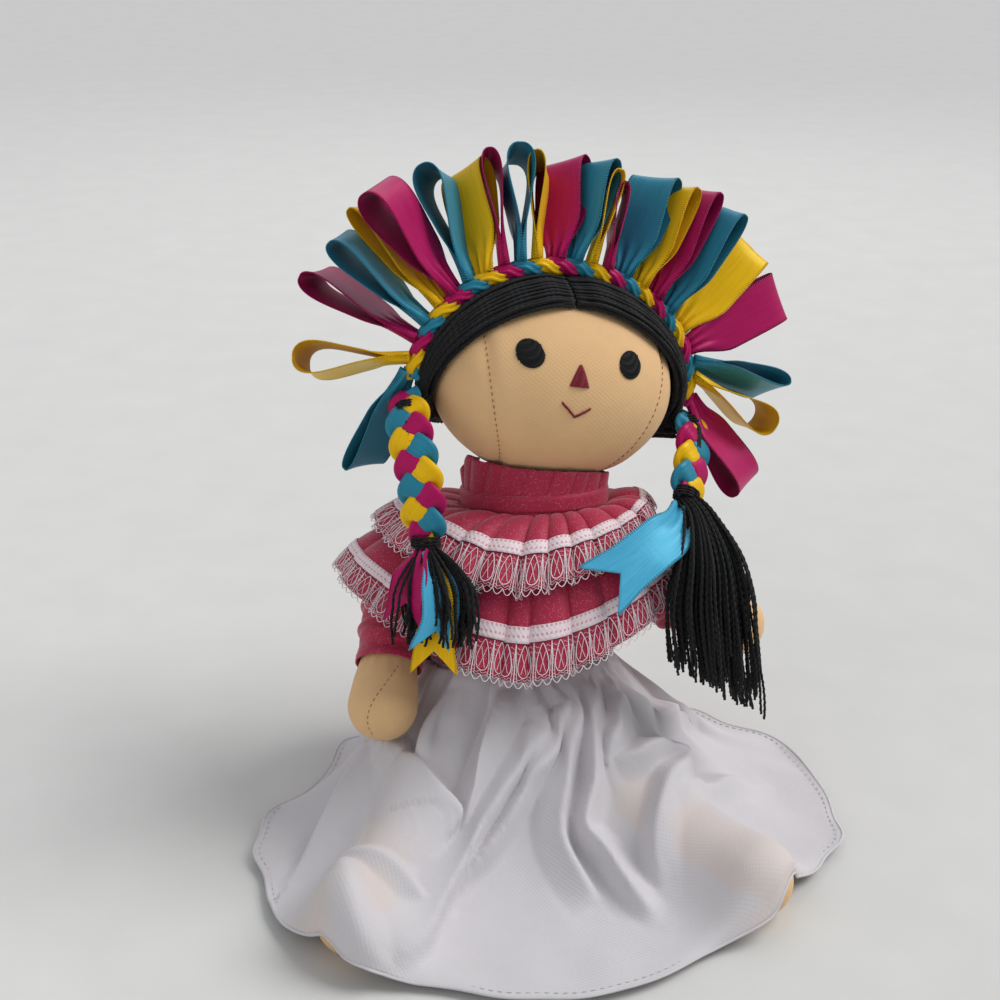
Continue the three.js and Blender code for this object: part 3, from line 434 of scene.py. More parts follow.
def yarn_tree():
    """Turns edges into plied yarn: a lobed profile that twists along each strand."""
    if "Yarn strands" in bpy.data.node_groups:
        return bpy.data.node_groups["Yarn strands"]
    tree, given, end = new_tree("Yarn strands", (
        ("Thickness", "Float", 0.0014), ("Twist", "Float", 900.0), ("Spacing", "Float", 0.0012),
        ("Plies", "Int", 3)))
    curve = node(tree, "GeometryNodeMeshToCurve", {"Mesh": given["Geometry"]})
    even = node(tree, "GeometryNodeResampleCurve", {
        "Curve": curve.outputs[0], "Length": given["Spacing"]}, mode="LENGTH")
    along = node(tree, "GeometryNodeSplineParameter")
    tilt = node(tree, "GeometryNodeSetCurveTilt", {
        "Curve": even.outputs[0],
        "Tilt": math_node(tree, "MULTIPLY", along.outputs["Length"], given["Twist"])})
    profile = node(tree, "GeometryNodeCurvePrimitiveCircle", {
        "Resolution": math_node(tree, "MULTIPLY", given["Plies"], 2.0),
        "Radius": math_node(tree, "MULTIPLY", given["Thickness"], 0.5)})
    every_other = math_node(tree, "MODULO", node(tree, "GeometryNodeInputIndex").outputs[0], 2.0)
    pull = node(tree, "ShaderNodeVectorMath", {
        0: node(tree, "GeometryNodeInputPosition").outputs[0],
        "Scale": math_node(tree, "MULTIPLY", every_other, -0.3)}, operation="SCALE")
    plied = node(tree, "GeometryNodeSetPosition", {
        "Geometry": profile.outputs["Curve"], "Offset": pull.outputs[0]})
    body = node(tree, "GeometryNodeCurveToMesh", {
        "Curve": tilt.outputs[0], "Profile Curve": plied.outputs[0], "Fill Caps": True})
    return finish_tree(tree, given, end, body.outputs["Mesh"])


def stitch_tree():
    """Lays one rounded stitch after another along edges."""
    if "Stitch row" in bpy.data.node_groups:
        return bpy.data.node_groups["Stitch row"]
    tree, given, end = new_tree("Stitch row", (
        ("Pitch", "Float", 0.0017), ("Length", "Float", 0.0011), ("Thickness", "Float", 0.0003)))
    curve = node(tree, "GeometryNodeMeshToCurve", {"Mesh": given["Geometry"]})
    points = node(tree, "GeometryNodeCurveToPoints", {
        "Curve": curve.outputs[0], "Length": given["Pitch"]}, mode="LENGTH")
    bead = node(tree, "GeometryNodeMeshUVSphere", {"Segments": 6, "Rings": 4, "Radius": 0.5})
    size = node(tree, "ShaderNodeCombineXYZ", {
        0: given["Thickness"], 1: given["Thickness"], 2: given["Length"]})
    row = node(tree, "GeometryNodeInstanceOnPoints", {
        "Points": points.outputs["Points"], "Instance": bead.outputs["Mesh"],
        "Rotation": points.outputs["Rotation"], "Scale": size.outputs[0]})
    return finish_tree(tree, given, end, row.outputs[0])


def add_lines(name, lines):
    """Open lines of points as loose edges."""
    points = []
    edges = []
    for line in lines:
        first = len(points)
        points.extend(np.asarray(line).tolist())
        edges.extend((k, k + 1) for k in range(first, len(points) - 1))
    mesh = bpy.data.meshes.new(name)
    mesh.from_pydata(points, edges, [])
    return link(name, mesh)


def add_yarn(name, lines, thickness, material, plies=3, spacing=0.0012, twist=900.0):
    return run_tree(
        add_lines(name, lines), yarn_tree(),
        Thickness=thickness, Twist=twist, Spacing=spacing, Plies=plies, Material=material)


def add_stitches(name, lines, material, length, pitch, thickness=0.0003):
    return run_tree(
        add_lines(name, lines), stitch_tree(),
        Pitch=pitch, Length=length, Thickness=thickness, Material=material)


# Materials


def weave_group():
    """Plain weave: threads that go over and under, by place on the cloth in metres."""
    if "Plain weave" in bpy.data.node_groups:
        return bpy.data.node_groups["Plain weave"]
    group, given, end = shader_group(
        "Plain weave", (("Threads", "Float", 1600.0), ("Slub", "Float", 0.3)), ("Height", "Shade"))
    wobble = node(group, "ShaderNodeTexNoise", {"Scale": 240, "Vector": given["Vector"]}).outputs["Fac"]
    parts = node(group, "ShaderNodeSeparateXYZ", {0: given["Vector"]})
    drift = math_node(group, "MULTIPLY", wobble, given["Slub"])
    waves = []
    for axis in ("X", "Y"):
        turns = math_node(group, "MULTIPLY", parts.outputs[axis], given["Threads"])
        angle = math_node(group, "MULTIPLY", math_node(group, "ADD", turns, drift), math.pi)
        waves.append(math_node(group, "SINE", angle))
    height = math_node(group, "MULTIPLY_ADD", math_node(group, "MULTIPLY", *waves), 0.5, 0.5)
    group.links.new(height, end.inputs["Height"])
    # Shade is painted shade, darker where the threads dip under one another, mixed with the slub's random
    # tone.
    group.links.new(weighted(group, height, 0.25, wobble, 0.6), end.inputs["Shade"])
    return group


def mottle_group():
    """Soft uneven patches, as in handled cloth."""
    if "Soft mottle" in bpy.data.node_groups:
        return bpy.data.node_groups["Soft mottle"]
    group, given, end = shader_group(
        "Soft mottle", (("Scale", "Float", 60.0), ("Fuzz scale", "Float", 2600.0)), ("Patch", "Fuzz"))
    for socket, detail, output in (("Scale", 4, "Patch"), ("Fuzz scale", 2, "Fuzz")):
        noise = node(group, "ShaderNodeTexNoise", {
            "Detail": detail, "Vector": given["Vector"], "Scale": given[socket]})
        group.links.new(noise.outputs["Fac"], end.inputs[output])
    return group


def satin_group():
    """Satin ribbon: fine lengthwise floats and slight cross ribs, with lengthwise streaks that the ribbon's
    colour takes as painted sheen.
    """
    if "Satin floats" in bpy.data.node_groups:
        return bpy.data.node_groups["Satin floats"]
    group, given, end = shader_group(
        "Satin floats", (("Floats", "Float", 5200.0), ("Ribs", "Float", 2600.0)), ("Height", "Streak"))
    stretch = node(group, "ShaderNodeMapping", {"Scale": (1, 0.06, 1), "Vector": given["Vector"]})
    streak = node(group, "ShaderNodeTexNoise", {"Scale": 1500, "Vector": stretch.outputs[0]}).outputs["Fac"]
    parts = node(group, "ShaderNodeSeparateXYZ", {0: given["Vector"]})
    floats, ribs = (
        math_node(group, "SINE", math_node(group, "MULTIPLY", parts.outputs[axis], given[count]))
        for axis, count in (("X", "Floats"), ("Y", "Ribs")))
    raised = weighted(group, floats, 0.5, ribs, 0.2)
    group.links.new(
        math_node(group, "ADD", raised, math_node(group, "MULTIPLY", streak, 0.6)), end.inputs["Height"])
    group.links.new(streak, end.inputs["Streak"])
    return group


def selvedge_group():
    """Stitches along a ribbon's edges, where the edge value nears one."""
    if "Selvedge" in bpy.data.node_groups:
        return bpy.data.node_groups["Selvedge"]
    group, given, end = shader_group(
        "Selvedge", (("Edge", "Float", 0.0), ("Pitch", "Float", 0.0007)), ("Height", "Mark"))
    parts = node(group, "ShaderNodeSeparateXYZ", {0: given["Vector"]})
    turns = math_node(group, "DIVIDE", parts.outputs["Y"], given["Pitch"])
    wave = math_node(group, "SINE", math_node(group, "MULTIPLY", turns, TAU))
    rim = node(group, "ShaderNodeMapRange", {
        "From Min": 0.88, "From Max": 0.95, "Value": given["Edge"]}, interpolation_type="SMOOTHSTEP")
    height = math_node(group, "MULTIPLY", rim.outputs["Result"], wave)
    group.links.new(height, end.inputs["Height"])
    group.links.new(math_node(group, "MAXIMUM", height, 0.0), end.inputs["Mark"])
    return group


def new_material(name, colour, roughness, sheen=0.0, specular=0.5, anisotropic=0.0):
    """A Principled material, its node tree and its shader, with uniform values on the shader's sockets."""
    material = bpy.data.materials.new(name)
    material.use_nodes = True
    shader = material.node_tree.nodes["Principled BSDF"]
    for socket, value in (
        ("Base Color", (*colour, 1)), ("Roughness", roughness), ("Sheen Weight", sheen),
        ("Sheen Roughness", 0.5), ("Specular IOR Level", specular), ("Anisotropic", anisotropic),
    ):
        shader.inputs[socket].default_value = value
    material.diffuse_color = (*colour, 1)
    return material, material.node_tree, shader


def put_group(tree, group, coordinates, inputs=None):
    return node(tree, "ShaderNodeGroup", {"Vector": coordinates, **(inputs or {})}, node_tree=group)


def tint(tree, colour, factor, dark, light):
    """The colour, from its darker to its lighter shade by a mask."""
    return node(tree, "ShaderNodeMix", {
        "A": (*(c * dark for c in colour), 1), "B": (*(min(c * light, 1) for c in colour), 1),
        "Factor": factor}, data_type="RGBA").outputs["Result"]


def overlay(tree, mask, colour, share):
    """Lays a colour over the material's own by a mask."""
    base = tree.nodes["Principled BSDF"].inputs["Base Color"]
    blend = node(tree, "ShaderNodeMix", {
        "Factor": math_node(tree, "MULTIPLY", mask, share), "A": base.links[0].from_socket,
        "B": (*colour, 1)}, data_type="RGBA")
    tree.links.new(blend.outputs["Result"], base)


def bump(tree, shader, height, strength, distance, under=None):
    inputs = {"Strength": strength, "Distance": distance, "Height": height}
    if under is not None:
        inputs["Normal"] = under
    normal = node(tree, "ShaderNodeBump", inputs).outputs[0]
    tree.links.new(normal, shader.inputs["Normal"])
    return normal


def cloth_coordinates(tree, source):
    return tree.nodes.new("ShaderNodeTexCoord").outputs[source]


def cotton(name, colour, thread_count, roughness, sheen, contrast=0.16, fuzz=0.35, weave=0.5):
    """Plain woven cotton."""
    if name in bpy.data.materials:
        return bpy.data.materials[name]
    material, tree, shader = new_material(name, colour, roughness, sheen, specular=0.25)
    woven = put_group(tree, weave_group(), cloth_coordinates(tree, "UV"), {"Threads": thread_count})
    mottle = put_group(tree, mottle_group(), cloth_coordinates(tree, "Object"))
    # The colour takes painted shade from the weave's dips and random patches from the mottle.
    shade = weighted(tree, woven.outputs["Shade"], 0.6, mottle.outputs["Patch"], 0.4)
    tree.links.new(tint(tree, colour, shade, 1 - contrast, 1 + contrast), shader.inputs["Base Color"])
    normal = bump(tree, shader, woven.outputs["Height"], weave, distance=0.00012)
    bump(tree, shader, mottle.outputs["Fuzz"], fuzz, distance=0.00008, under=normal)
    return material


def satin(name, colour, face=True):
    """Satin ribbon: a bright face with long floats or a duller, rougher back whose colour is painted darker
    as painted shade, and a stitched edge where it has one.
    """
    if name in bpy.data.materials:
        return bpy.data.materials[name]
    # The back is rougher and less shiny, as the wrong side of satin is, and its colour is painted darker:
    # painted shade of the loops' insides.
    rough, shine, depth = (0.36, 0.6, 1.0) if face else (0.55, 0.3, 0.72)
    colour = tuple(c * depth for c in colour)
    material, tree, shader = new_material(
        name, colour, rough, sheen=0.15, specular=shine, anisotropic=0.55)
    for socket in ("Sheen Tint", "Specular Tint"):
        shader.inputs[socket].default_value = (*(min(1.7 * c + 0.12, 1) for c in colour), 1)
    lie = node(tree, "ShaderNodeTangent", direction_type="UV_MAP", uv_map="UVMap")
    tree.links.new(lie.outputs[0], shader.inputs["Tangent"])
    uv = cloth_coordinates(tree, "UV")
    floats = put_group(tree, satin_group(), uv)
    mottle = put_group(tree, mottle_group(), cloth_coordinates(tree, "Object"), {"Scale": 90.0})
    # Lengthwise streaks painted lighter and darker in the colour: painted sheen along the floats, mixed with
    # soft random patches.
    shade = weighted(tree, floats.outputs["Streak"], 0.7, mottle.outputs["Patch"], 0.3)
    edge = node(tree, "ShaderNodeAttribute", attribute_name="edge")
    edging = put_group(tree, selvedge_group(), uv, {"Edge": edge.outputs["Fac"]})
    stitched = math_node(tree, "SUBTRACT", shade, math_node(tree, "MULTIPLY", edging.outputs["Mark"], 0.9))
    tree.links.new(tint(tree, colour, stitched, dark=0.72, light=1.25), shader.inputs["Base Color"])
    dull = math_node(tree, "MULTIPLY_ADD", floats.outputs["Streak"], 0.2, rough - 0.1)
    tree.links.new(dull, shader.inputs["Roughness"])
    normal = bump(tree, shader, floats.outputs["Height"], strength=0.25, distance=0.00006)
    normal = bump(tree, shader, edging.outputs["Height"], strength=0.8, distance=0.0002, under=normal)
    bump(tree, shader, mottle.outputs["Patch"], strength=0.15, distance=0.0008, under=normal)
    return material


def fibre(name, colour, roughness, sheen, contrast):
    """Yarn or thread: fine hairs and an uneven dye."""
    if name in bpy.data.materials:
        return bpy.data.materials[name]
    material, tree, shader = new_material(name, colour, roughness, sheen, specular=0.3)
    mottle = put_group(
        tree, mottle_group(), cloth_coordinates(tree, "Object"), {"Scale": 420.0, "Fuzz scale": 5200.0})
    dyed = tint(tree, colour, mottle.outputs["Patch"], 1 - contrast, 1 + contrast)
    tree.links.new(dyed, shader.inputs["Base Color"])
    bump(tree, shader, mottle.outputs["Fuzz"], strength=0.6, distance=0.00012)
    return material


def skin_cotton():
    return cotton(
        "beige cotton", colours().skin, thread_count=1700.0, roughness=0.82, sheen=0.12, contrast=0.13,
        weave=0.35)


def blouse_cloth():
    """Cotton with fine glitter in its weave, its glints painted as small light pink flecks in the colour."""
    if "crimson blouse cloth" in bpy.data.materials:
        return bpy.data.materials["crimson blouse cloth"]
    material = cotton(
        "crimson blouse cloth", colours().pink, thread_count=2100.0, roughness=0.5, sheen=0.25, contrast=0.22)
    tree = material.node_tree
    # Painted glints: small light pink flecks laid over the colour where the glitter would catch the light.
    cells = node(tree, "ShaderNodeTexVoronoi", {"Scale": 2600, "Vector": cloth_coordinates(tree, "Object")})
    painted_glint = math_node(tree, "MULTIPLY", math_node(tree, "GREATER_THAN", cells.outputs["Color"], 0.7),
                      math_node(tree, "LESS_THAN", cells.outputs["Distance"], 0.34))
    overlay(tree, painted_glint, colour=(0.95, 0.40, 0.50), share=0.4)
    return material


def skirt_cotton():
    """Thin cotton that lets what it lies on show through."""
    if "thin white cotton" in bpy.data.materials:
        return bpy.data.materials["thin white cotton"]
    c = colours()
    material = cotton(
        "thin white cotton", c.white, thread_count=1900.0, roughness=0.85, sheen=0.1, contrast=0.05,
        fuzz=0.25, weave=0.35)
    tree = material.node_tree
    legs = node(tree, "ShaderNodeAttribute", attribute_name="legs")
    overlay(tree, legs.outputs["Fac"], c.skin, share=0.18)
    return material


def black_yarn():
    return fibre("black yarn", colours().yarn, roughness=0.75, sheen=0.06, contrast=0.5)


def red_thread():
    return fibre("red thread", colours().red, roughness=0.6, sheen=0.2, contrast=0.3)


def seam_thread():
    return fibre("seam thread", colours().seam, roughness=0.7, sheen=0.1, contrast=0.3)


def lace_thread():
    return fibre("lace thread", colours().lace, roughness=0.45, sheen=0.3, contrast=0.12)


# A dark crimson thread for the seam at the foot of the lace tape, which also stands in as painted shadow of
# the fold below the tape.
def seam_and_shadow_thread():
    dark = tuple(0.35 * c for c in colours().pink)
    return fibre("dark red thread", dark, roughness=0.7, sheen=0.1, contrast=0.3)


# Spacing of the lace tape's eyelets and of their rows, in metres
EYELET_PITCH = 0.0013
EYELET_ROW = 0.0017


def lace_tape():
    """Woven tape of the lace, with a row of small eyelets that show the cloth below."""
    if "lace tape" in bpy.data.materials:
        return bpy.data.materials["lace tape"]
    c = colours()
    pale = tuple(0.93 * a + 0.07 * b for a, b in zip(c.lace, c.pink))
    material = cotton(
        "lace tape", pale, thread_count=1300.0, roughness=0.6, sheen=0.2, contrast=0.2, weave=1.0)
    tree = material.node_tree
    parts = node(tree, "ShaderNodeSeparateXYZ", {0: cloth_coordinates(tree, "UV")})
    wave, row = (
        math_node(tree, "SINE", math_node(tree, "MULTIPLY", parts.outputs[axis], TAU / pitch))
        for axis, pitch in (("X", EYELET_PITCH), ("Y", EYELET_ROW)))
    eyelet = math_node(tree, "MULTIPLY", math_node(tree, "GREATER_THAN", wave, 0.1),
                       math_node(tree, "GREATER_THAN", row, 0.55))
    overlay(tree, eyelet, c.pink, share=0.5)
    return material


def satins():
    c = colours()
    return satin("blue satin", c.blue), satin("yellow satin", c.yellow), satin("magenta satin", c.magenta)


# Copies of the satins for the ribbons' backs: rougher, with their colour painted darker as painted shade.
def painted_shade_satin_backs():
    c = colours()
    return (satin("blue satin back", c.blue, False), satin("yellow satin back", c.yellow, False),
            satin("magenta satin back", c.magenta, False))


# Forms that the clothes follow


def torso_section(height):
    """Half width, half depth and sideways shift of the torso at a height, in metres."""
    width = np.interp(height, TORSO_STATIONS[:, 0], TORSO_STATIONS[:, 1]) / 2
    depth = np.interp(height, TORSO_STATIONS[:, 0], TORSO_STATIONS[:, 2]) / 2
    shift = NECK_SHIFT * ramp(CHEST_HEIGHT, NECK_HEIGHT, height)
    return width * MM, depth * MM, shift * MM


def on_head(directions, grow):
    """Points on the head, or this far off it, in directions of a unit ball."""
    return unit(directions) * (HEAD_HALF + grow) + HEAD_MIDDLE


def on_face(x, z, grow):
    """The point of the face at this width and height from the head's middle."""
    half = HEAD_HALF + grow
    inside = np.maximum(1 - (np.asarray(x) / half[0]) ** 2 - (np.asarray(z) / half[2]) ** 2, 0)
    return np.stack(np.broadcast_arrays(x, -half[1] * np.sqrt(inside), z), axis=-1) + HEAD_MIDDLE


# How far out the face's side seams run, in millimetres: at the middle, by height and by its square
SEAM_CURVE = (26.249, 0.24097, -0.008176)


def seam_reach(z):
    """How far out the face's side seams run at a height."""
    middle, slope, bend = SEAM_CURVE
    return (middle + slope * z + bend * z**2) * MM


def ring(count):
    return np.arange(count) * (TAU / count)


def girth(shift, width, depth, turn, height):
    """A row of points round the torso's axis."""
    return np.stack(np.broadcast_arrays(
        shift + width * np.cos(turn), depth * np.sin(turn), height), axis=-1)


def tube_points(middles, sides, fronts, half_widths, half_depths, count):
    """Rows of points round a path with an oval section."""
    turn = ring(count)
    across = sides[:, None] * (half_widths[:, None] * np.cos(turn))[..., None]
    out = fronts[:, None] * (half_depths[:, None] * np.sin(turn))[..., None]
    return middles[:, None] + across + out


class DOLL_OT_torso(bpy.types.Operator):
    """Makes the stuffed torso with its flat seat and neck stump"""

    bl_idname = "doll.torso"
    bl_label = "Torso"

    def execute(self, context):
        heights = np.concatenate((
            np.linspace(0.5 - SEAT_DEPTH, 0, 8), np.linspace(2, NECK_TOP, 44),
            np.linspace(NECK_TOP + 2, NECK_TOP + 10, 6)))
        turn = ring(72)
        rows = []
        for height in heights:
            width, depth, shift = torso_section(np.clip(height, 0, NECK_TOP))
            if height < 0:
                drop = math.sqrt(1 - (height / SEAT_DEPTH) ** 2)
                width, depth = width * drop, depth * drop
            if height > NECK_TOP:
                dome = math.sqrt(max(1 - ((height - NECK_TOP) / DOME_HEIGHT) ** 2, 0.03))
                width, depth = width * dome, depth * dome
            rows.append(girth(shift, width, depth, turn, height * MM))
        points = np.array(rows)
        points[..., 2] = np.maximum(points[..., 2], points[..., 1] * math.tan(LEAN))
        stuff("torso", place(points, TORSO), "torso", 0.85, "torso_skin", "torso_stuffing")
        return {"FINISHED"}


class DOLL_OT_head(bpy.types.Operator):
    """Makes the stuffed head with its two side seams"""

    bl_idname = "doll.head"
    bl_label = "Head"

    def execute(self, context):
        polar = np.linspace(0.02, math.pi - 0.05, 110)[:, None]
        turn = ring(168)[None]
        directions = np.stack(np.broadcast_arrays(
            np.sin(polar) * np.cos(turn), np.sin(polar) * np.sin(turn), np.cos(polar)), axis=-1)
        points = on_head(directions, 0)
        local = points - HEAD_MIDDLE
        seam = np.abs(np.abs(local[..., 0]) - seam_reach(local[..., 2] / MM))
        ahead = ramp(2 * MM, -6 * MM, local[..., 1])
        groove = 0.55 * MM * bell(seam, 1.1 * MM) * ahead
        puff = 0.35 * MM * bell(seam - 3.2 * MM, 2 * MM) * ahead
        points = points + unit(local) * (puff - groove)[..., None]
        stuff("head", place(points, HEAD), "head", 0.95, "head_skin", "head_stuffing")
        lines = []
        for sign in (-1, 1):
            z = np.linspace(17, -22, 60)
            lines.append(place(on_face(sign * seam_reach(z), z * MM, -0.25 * MM), HEAD))
        size = threads()
        seams = add_stitches("head_seams", lines, seam_thread(), size.stitch, pitch=1.7 * size.stitch)
        settle(seams, "head", "skin_cotton")
        return {"FINISHED"}


# The embroidered face, in millimetres from the head's middle
EYES = {"eye_right": -17.2, "eye_left": 13.2}
EYE_HEIGHT = 11
EYE_RADIUS = 3.8
EYE_EDGE = 3.7
EYE_SLANT = math.radians(24)
NOSE_SHIFT = 3.1
NOSE_HALF = 2.9
NOSE_FOOT = 3.8
NOSE_HEIGHT = 6.3
MOUTH = (((-7.5, -1.1), (-3.0, -4.9)), ((-3.2, -4.9), (1.3, -2.0)))
THREAD_PITCH = 0.34


class DOLL_OT_face(bpy.types.Operator):
    """Embroiders the eyes, nose and mouth in satin stitch"""

    bl_idname = "doll.face"
    bl_label = "Face"

    def execute(self, context):
        for name, x in EYES.items():
            offsets = np.arange(-EYE_EDGE, EYE_EDGE + 0.01, THREAD_PITCH)
            self.sew(name, [self.eye_thread(x, offset) for offset in offsets], black_yarn(), "black_yarn")
        nose = [self.nose_thread(z) for z in np.arange(3.9, 9.9, THREAD_PITCH)]
        self.sew("nose", nose, red_thread(), "red_thread")
        mouth = [self.stroke(start, end, lift) for start, end in MOUTH for lift in (-0.18, 0.18)]
        self.sew("mouth", mouth, red_thread(), "red_thread")
        return {"FINISHED"}

    def sew(self, name, lines, material, slot):
        """Threads side by side, for one part of the face."""
        piece = add_yarn(name + "_stitches", lines, threads().thread, material, spacing=0.0005)
        settle(piece, "head", slot, name)

    def eye_thread(self, x, offset):
        half = math.sqrt(max(EYE_RADIUS**2 - offset**2, 0.2))
        along = np.linspace(-1, 1, 13) * half
        xs = x + offset * math.cos(EYE_SLANT) - along * math.sin(EYE_SLANT)
        zs = EYE_HEIGHT + offset * math.sin(EYE_SLANT) + along * math.cos(EYE_SLANT)
        rise = 0.1 + 0.55 * np.sqrt(np.maximum(1 - (along**2 + offset**2) / (EYE_RADIUS + 0.1) ** 2, 0))
        return place(on_face(xs * MM, zs * MM, 0) + self.lift(rise), HEAD)

    def nose_thread(self, z):
        half = NOSE_HALF * (1 - (z - NOSE_FOOT) / NOSE_HEIGHT) ** 0.8
        along = np.linspace(-1, 1, 9)
        rise = 0.05 + 0.5 * np.sqrt(np.maximum(1 - along**2, 0))
        xs = (along * half - NOSE_SHIFT) * MM
        return place(on_face(xs, np.full(9, z * MM), 0) + self.lift(rise), HEAD)

    def stroke(self, start, end, lift):
        along = np.linspace(0, 1, 12)
        xs = mix(start[0], end[0], along) * MM
        zs = (mix(start[1], end[1], along) + lift) * MM
        rise = 0.1 + 0.3 * np.sin(math.pi * along)
        return place(on_face(xs, zs, 0) + self.lift(rise), HEAD)

    def lift(self, rise):
        return np.stack((np.zeros(len(rise)), -rise * MM, np.zeros(len(rise))), axis=1)


# Where the strands start on the parting, in degrees from front to back, how far the parting lies to the
# side, and the directions in which they end
PARTING = (31, -121)
PARTING_SHIFT = -0.075
STRAND_ENDS = np.array(((0.965, -0.12, -0.2), (0.93, -0.02, -0.36), (0.84, 0.22, -0.48)))


def hair_path(side, share, steps):
    """Directions of one strand, from the parting to the side where the plait starts."""
    front = math.radians(mix(*PARTING, share))
    start = np.array((0.012 * side + PARTING_SHIFT, -math.sin(front), math.cos(front)))
    end = np.array([np.interp(share, (0, 0.5, 1), STRAND_ENDS[:, k]) for k in range(3)])
    end = unit(end * (side, 1, 1))
    angle = math.acos(np.clip(start @ end, -1, 1))
    t = np.linspace(0, 1, steps)[:, None]
    return (np.sin((1 - t) * angle) * start + np.sin(t * angle) * end) / math.sin(angle)


# Points along a strand, strands gathered to each plait, and the share of the hair under the headband
STRAND_STEPS = 26
GATHERED = 26
BAND_SHARE = 0.17


class DOLL_OT_hair(bpy.types.Operator):
    """Lays the yarn hair from its parting to both sides"""

    bl_idname = "doll.hair"
    bl_label = "Hair"

    def execute(self, context):
        draw = random.Random(11)
        size = threads()
        along = np.linspace(0, 1, STRAND_STEPS)
        caps = []
        for name, side in (("right", -1), ("left", 1)):
            shares = np.linspace(0, 1, 48)
            sheet = np.array([on_head(hair_path(side, share, 30), 1.3 * MM) for share in shares])
            caps.append(close_shell(add_grid("cap_" + name, place(sheet, HEAD), black_yarn()), side))
            lines = []
            for layer, grow in ((0, 2.0), (1, 3.1)):
                for k in range(size.hair_strands):
                    share = np.clip((k + 0.5 * layer + draw.uniform(-0.2, 0.2)) / size.hair_strands, 0, 1)
                    path = hair_path(side, share, STRAND_STEPS)
                    lift = grow + draw.uniform(-0.25, 0.25) - 1.2 * ramp(0.1, 0, along)
                    under_band = 1.9 * bell(share - BAND_SHARE, 0.11)
                    lift = lift + layer * (under_band + 0.7 * ramp(0.4, 0.9, along))
                    lines.append(place(on_head(path, lift[:, None] * MM), HEAD))
            lines.extend(self.gathered(side, draw))
            hair = add_yarn("hair_" + name, lines, size.yarn, black_yarn(), spacing=0.0016, twist=1100.0)
            settle(hair, "head", "black_yarn")
        settle(join(caps, "hair_base"), "head", "black_yarn", "hair_cap")
        return {"FINISHED"}

    def gathered(self, side, draw):
        """Strands that leave the side of the head towards the start of the plait."""
        inverse = HEAD.inverted()
        top = PLAIT_RIGHT if side < 0 else PLAIT_LEFT
        goal = place(np.array(top[:3]) * MM, inverse)
        lines = []
        for k in range(GATHERED):
            share = (k + 0.5) / GATHERED
            tail = on_head(hair_path(side, share, 12)[-5:], 2.4 * MM)
            jitter = np.array([draw.uniform(-1.6, 1.6) for _ in range(3)]) * MM
            line = np.vstack((tail, mix(tail[-1], goal[1], 0.6) + jitter, goal[1] + jitter, goal[2] + jitter))
            lines.append(place(route(line, 24), HEAD))
        return lines


def close_shell(piece, side):
    """Gives a hair base its thickness, with its outside away from the head."""
    if side > 0:
        piece.data.flip_normals()
    return thicken(piece, 1.2 * MM, offset=-1)


# Ribbon

RIBBON_SLOTS = ("blue_ribbon", "yellow_ribbon", "magenta_ribbon")

# The headband's half width and half height, how far forward it lies and its ends in degrees
BAND_HALF = (43.8, 34.8)
BAND_AHEAD = -2.0
BAND_ENDS = (184, -4)


def add_ribbon(name, points, colour):
    """A length of satin ribbon: a bright face, a dull back with its colour painted darker as painted shade,
    and a stitched edge on both sides.
    """
    piece = add_grid(name, points, satins()[colour])
    cols = points.shape[1]
    edge = np.tile(np.abs(np.linspace(-1, 1, cols)), len(points))
    piece.data.attributes.new("edge", "FLOAT", "POINT").data.foreach_set("value", edge)
    middle = points[:, cols // 2]
    normal = np.cross(points[0, -1] - points[0, 0], middle[1] - middle[0])
    if normal @ (middle[len(middle) // 2] - middle[0]) > 0:
        piece.data.flip_normals()
    piece.data.materials.append(painted_shade_satin_backs()[colour])
    solid = piece.modifiers.new("Thickness", "SOLIDIFY")
    solid.thickness = ribbons().satin
    solid.offset = 0
    solid.material_offset = 1
    return bake(piece)


def band_arc(count):
    """The headband's middle line, from the doll's right ear to its left."""
    turn = np.linspace(*(math.radians(end) for end in BAND_ENDS), 400)
    wide, high = BAND_HALF
    line = np.stack((wide * np.cos(turn), np.full(400, BAND_AHEAD), 26 + high * np.sin(turn)), axis=1) * MM
    return evenly(line, count)


class DOLL_OT_headband(bpy.types.Operator):
    """Twists three ribbons into the rope that holds the crown"""

    bl_idname = "doll.headband"
    bl_label = "Headband"

    def execute(self, context):
        steps = 280
        line = band_arc(steps)
        _, side, front = path_frames(line, (0, -1, 0))
        along = np.linspace(0, 1, steps)
        strands = []
        for k, material in enumerate(satins()):
            turn = TAU * ((len(LOOPS) - 1) / 3 * along - k / 3)
            middle = line + (front * np.cos(turn)[:, None] + side * np.sin(turn)[:, None]) * MM
            _, s, f = path_frames(middle, front)
            swell = 1 + 0.22 * np.cos(turn)
            points = tube_points(middle, s, f, 1.5 * MM * swell, 1.25 * MM * swell, 24)
            crinkle = np.sin(ring(24) * 6 + 2 * np.sin(turn * 2)[:, None])
            wrinkle = 0.2 * MM * crinkle * (1 + np.cos(turn))[:, None]
            points = points + unit(points - middle[:, None]) * wrinkle[..., None]
            strands.append(close_ends(add_grid(f"band_{k}", points, material, around=True)))
        band = join(strands, "headband_rope")
        band.data.transform(HEAD)
        settle(band, "head", "magenta_ribbon", "headband")
        return {"FINISHED"}


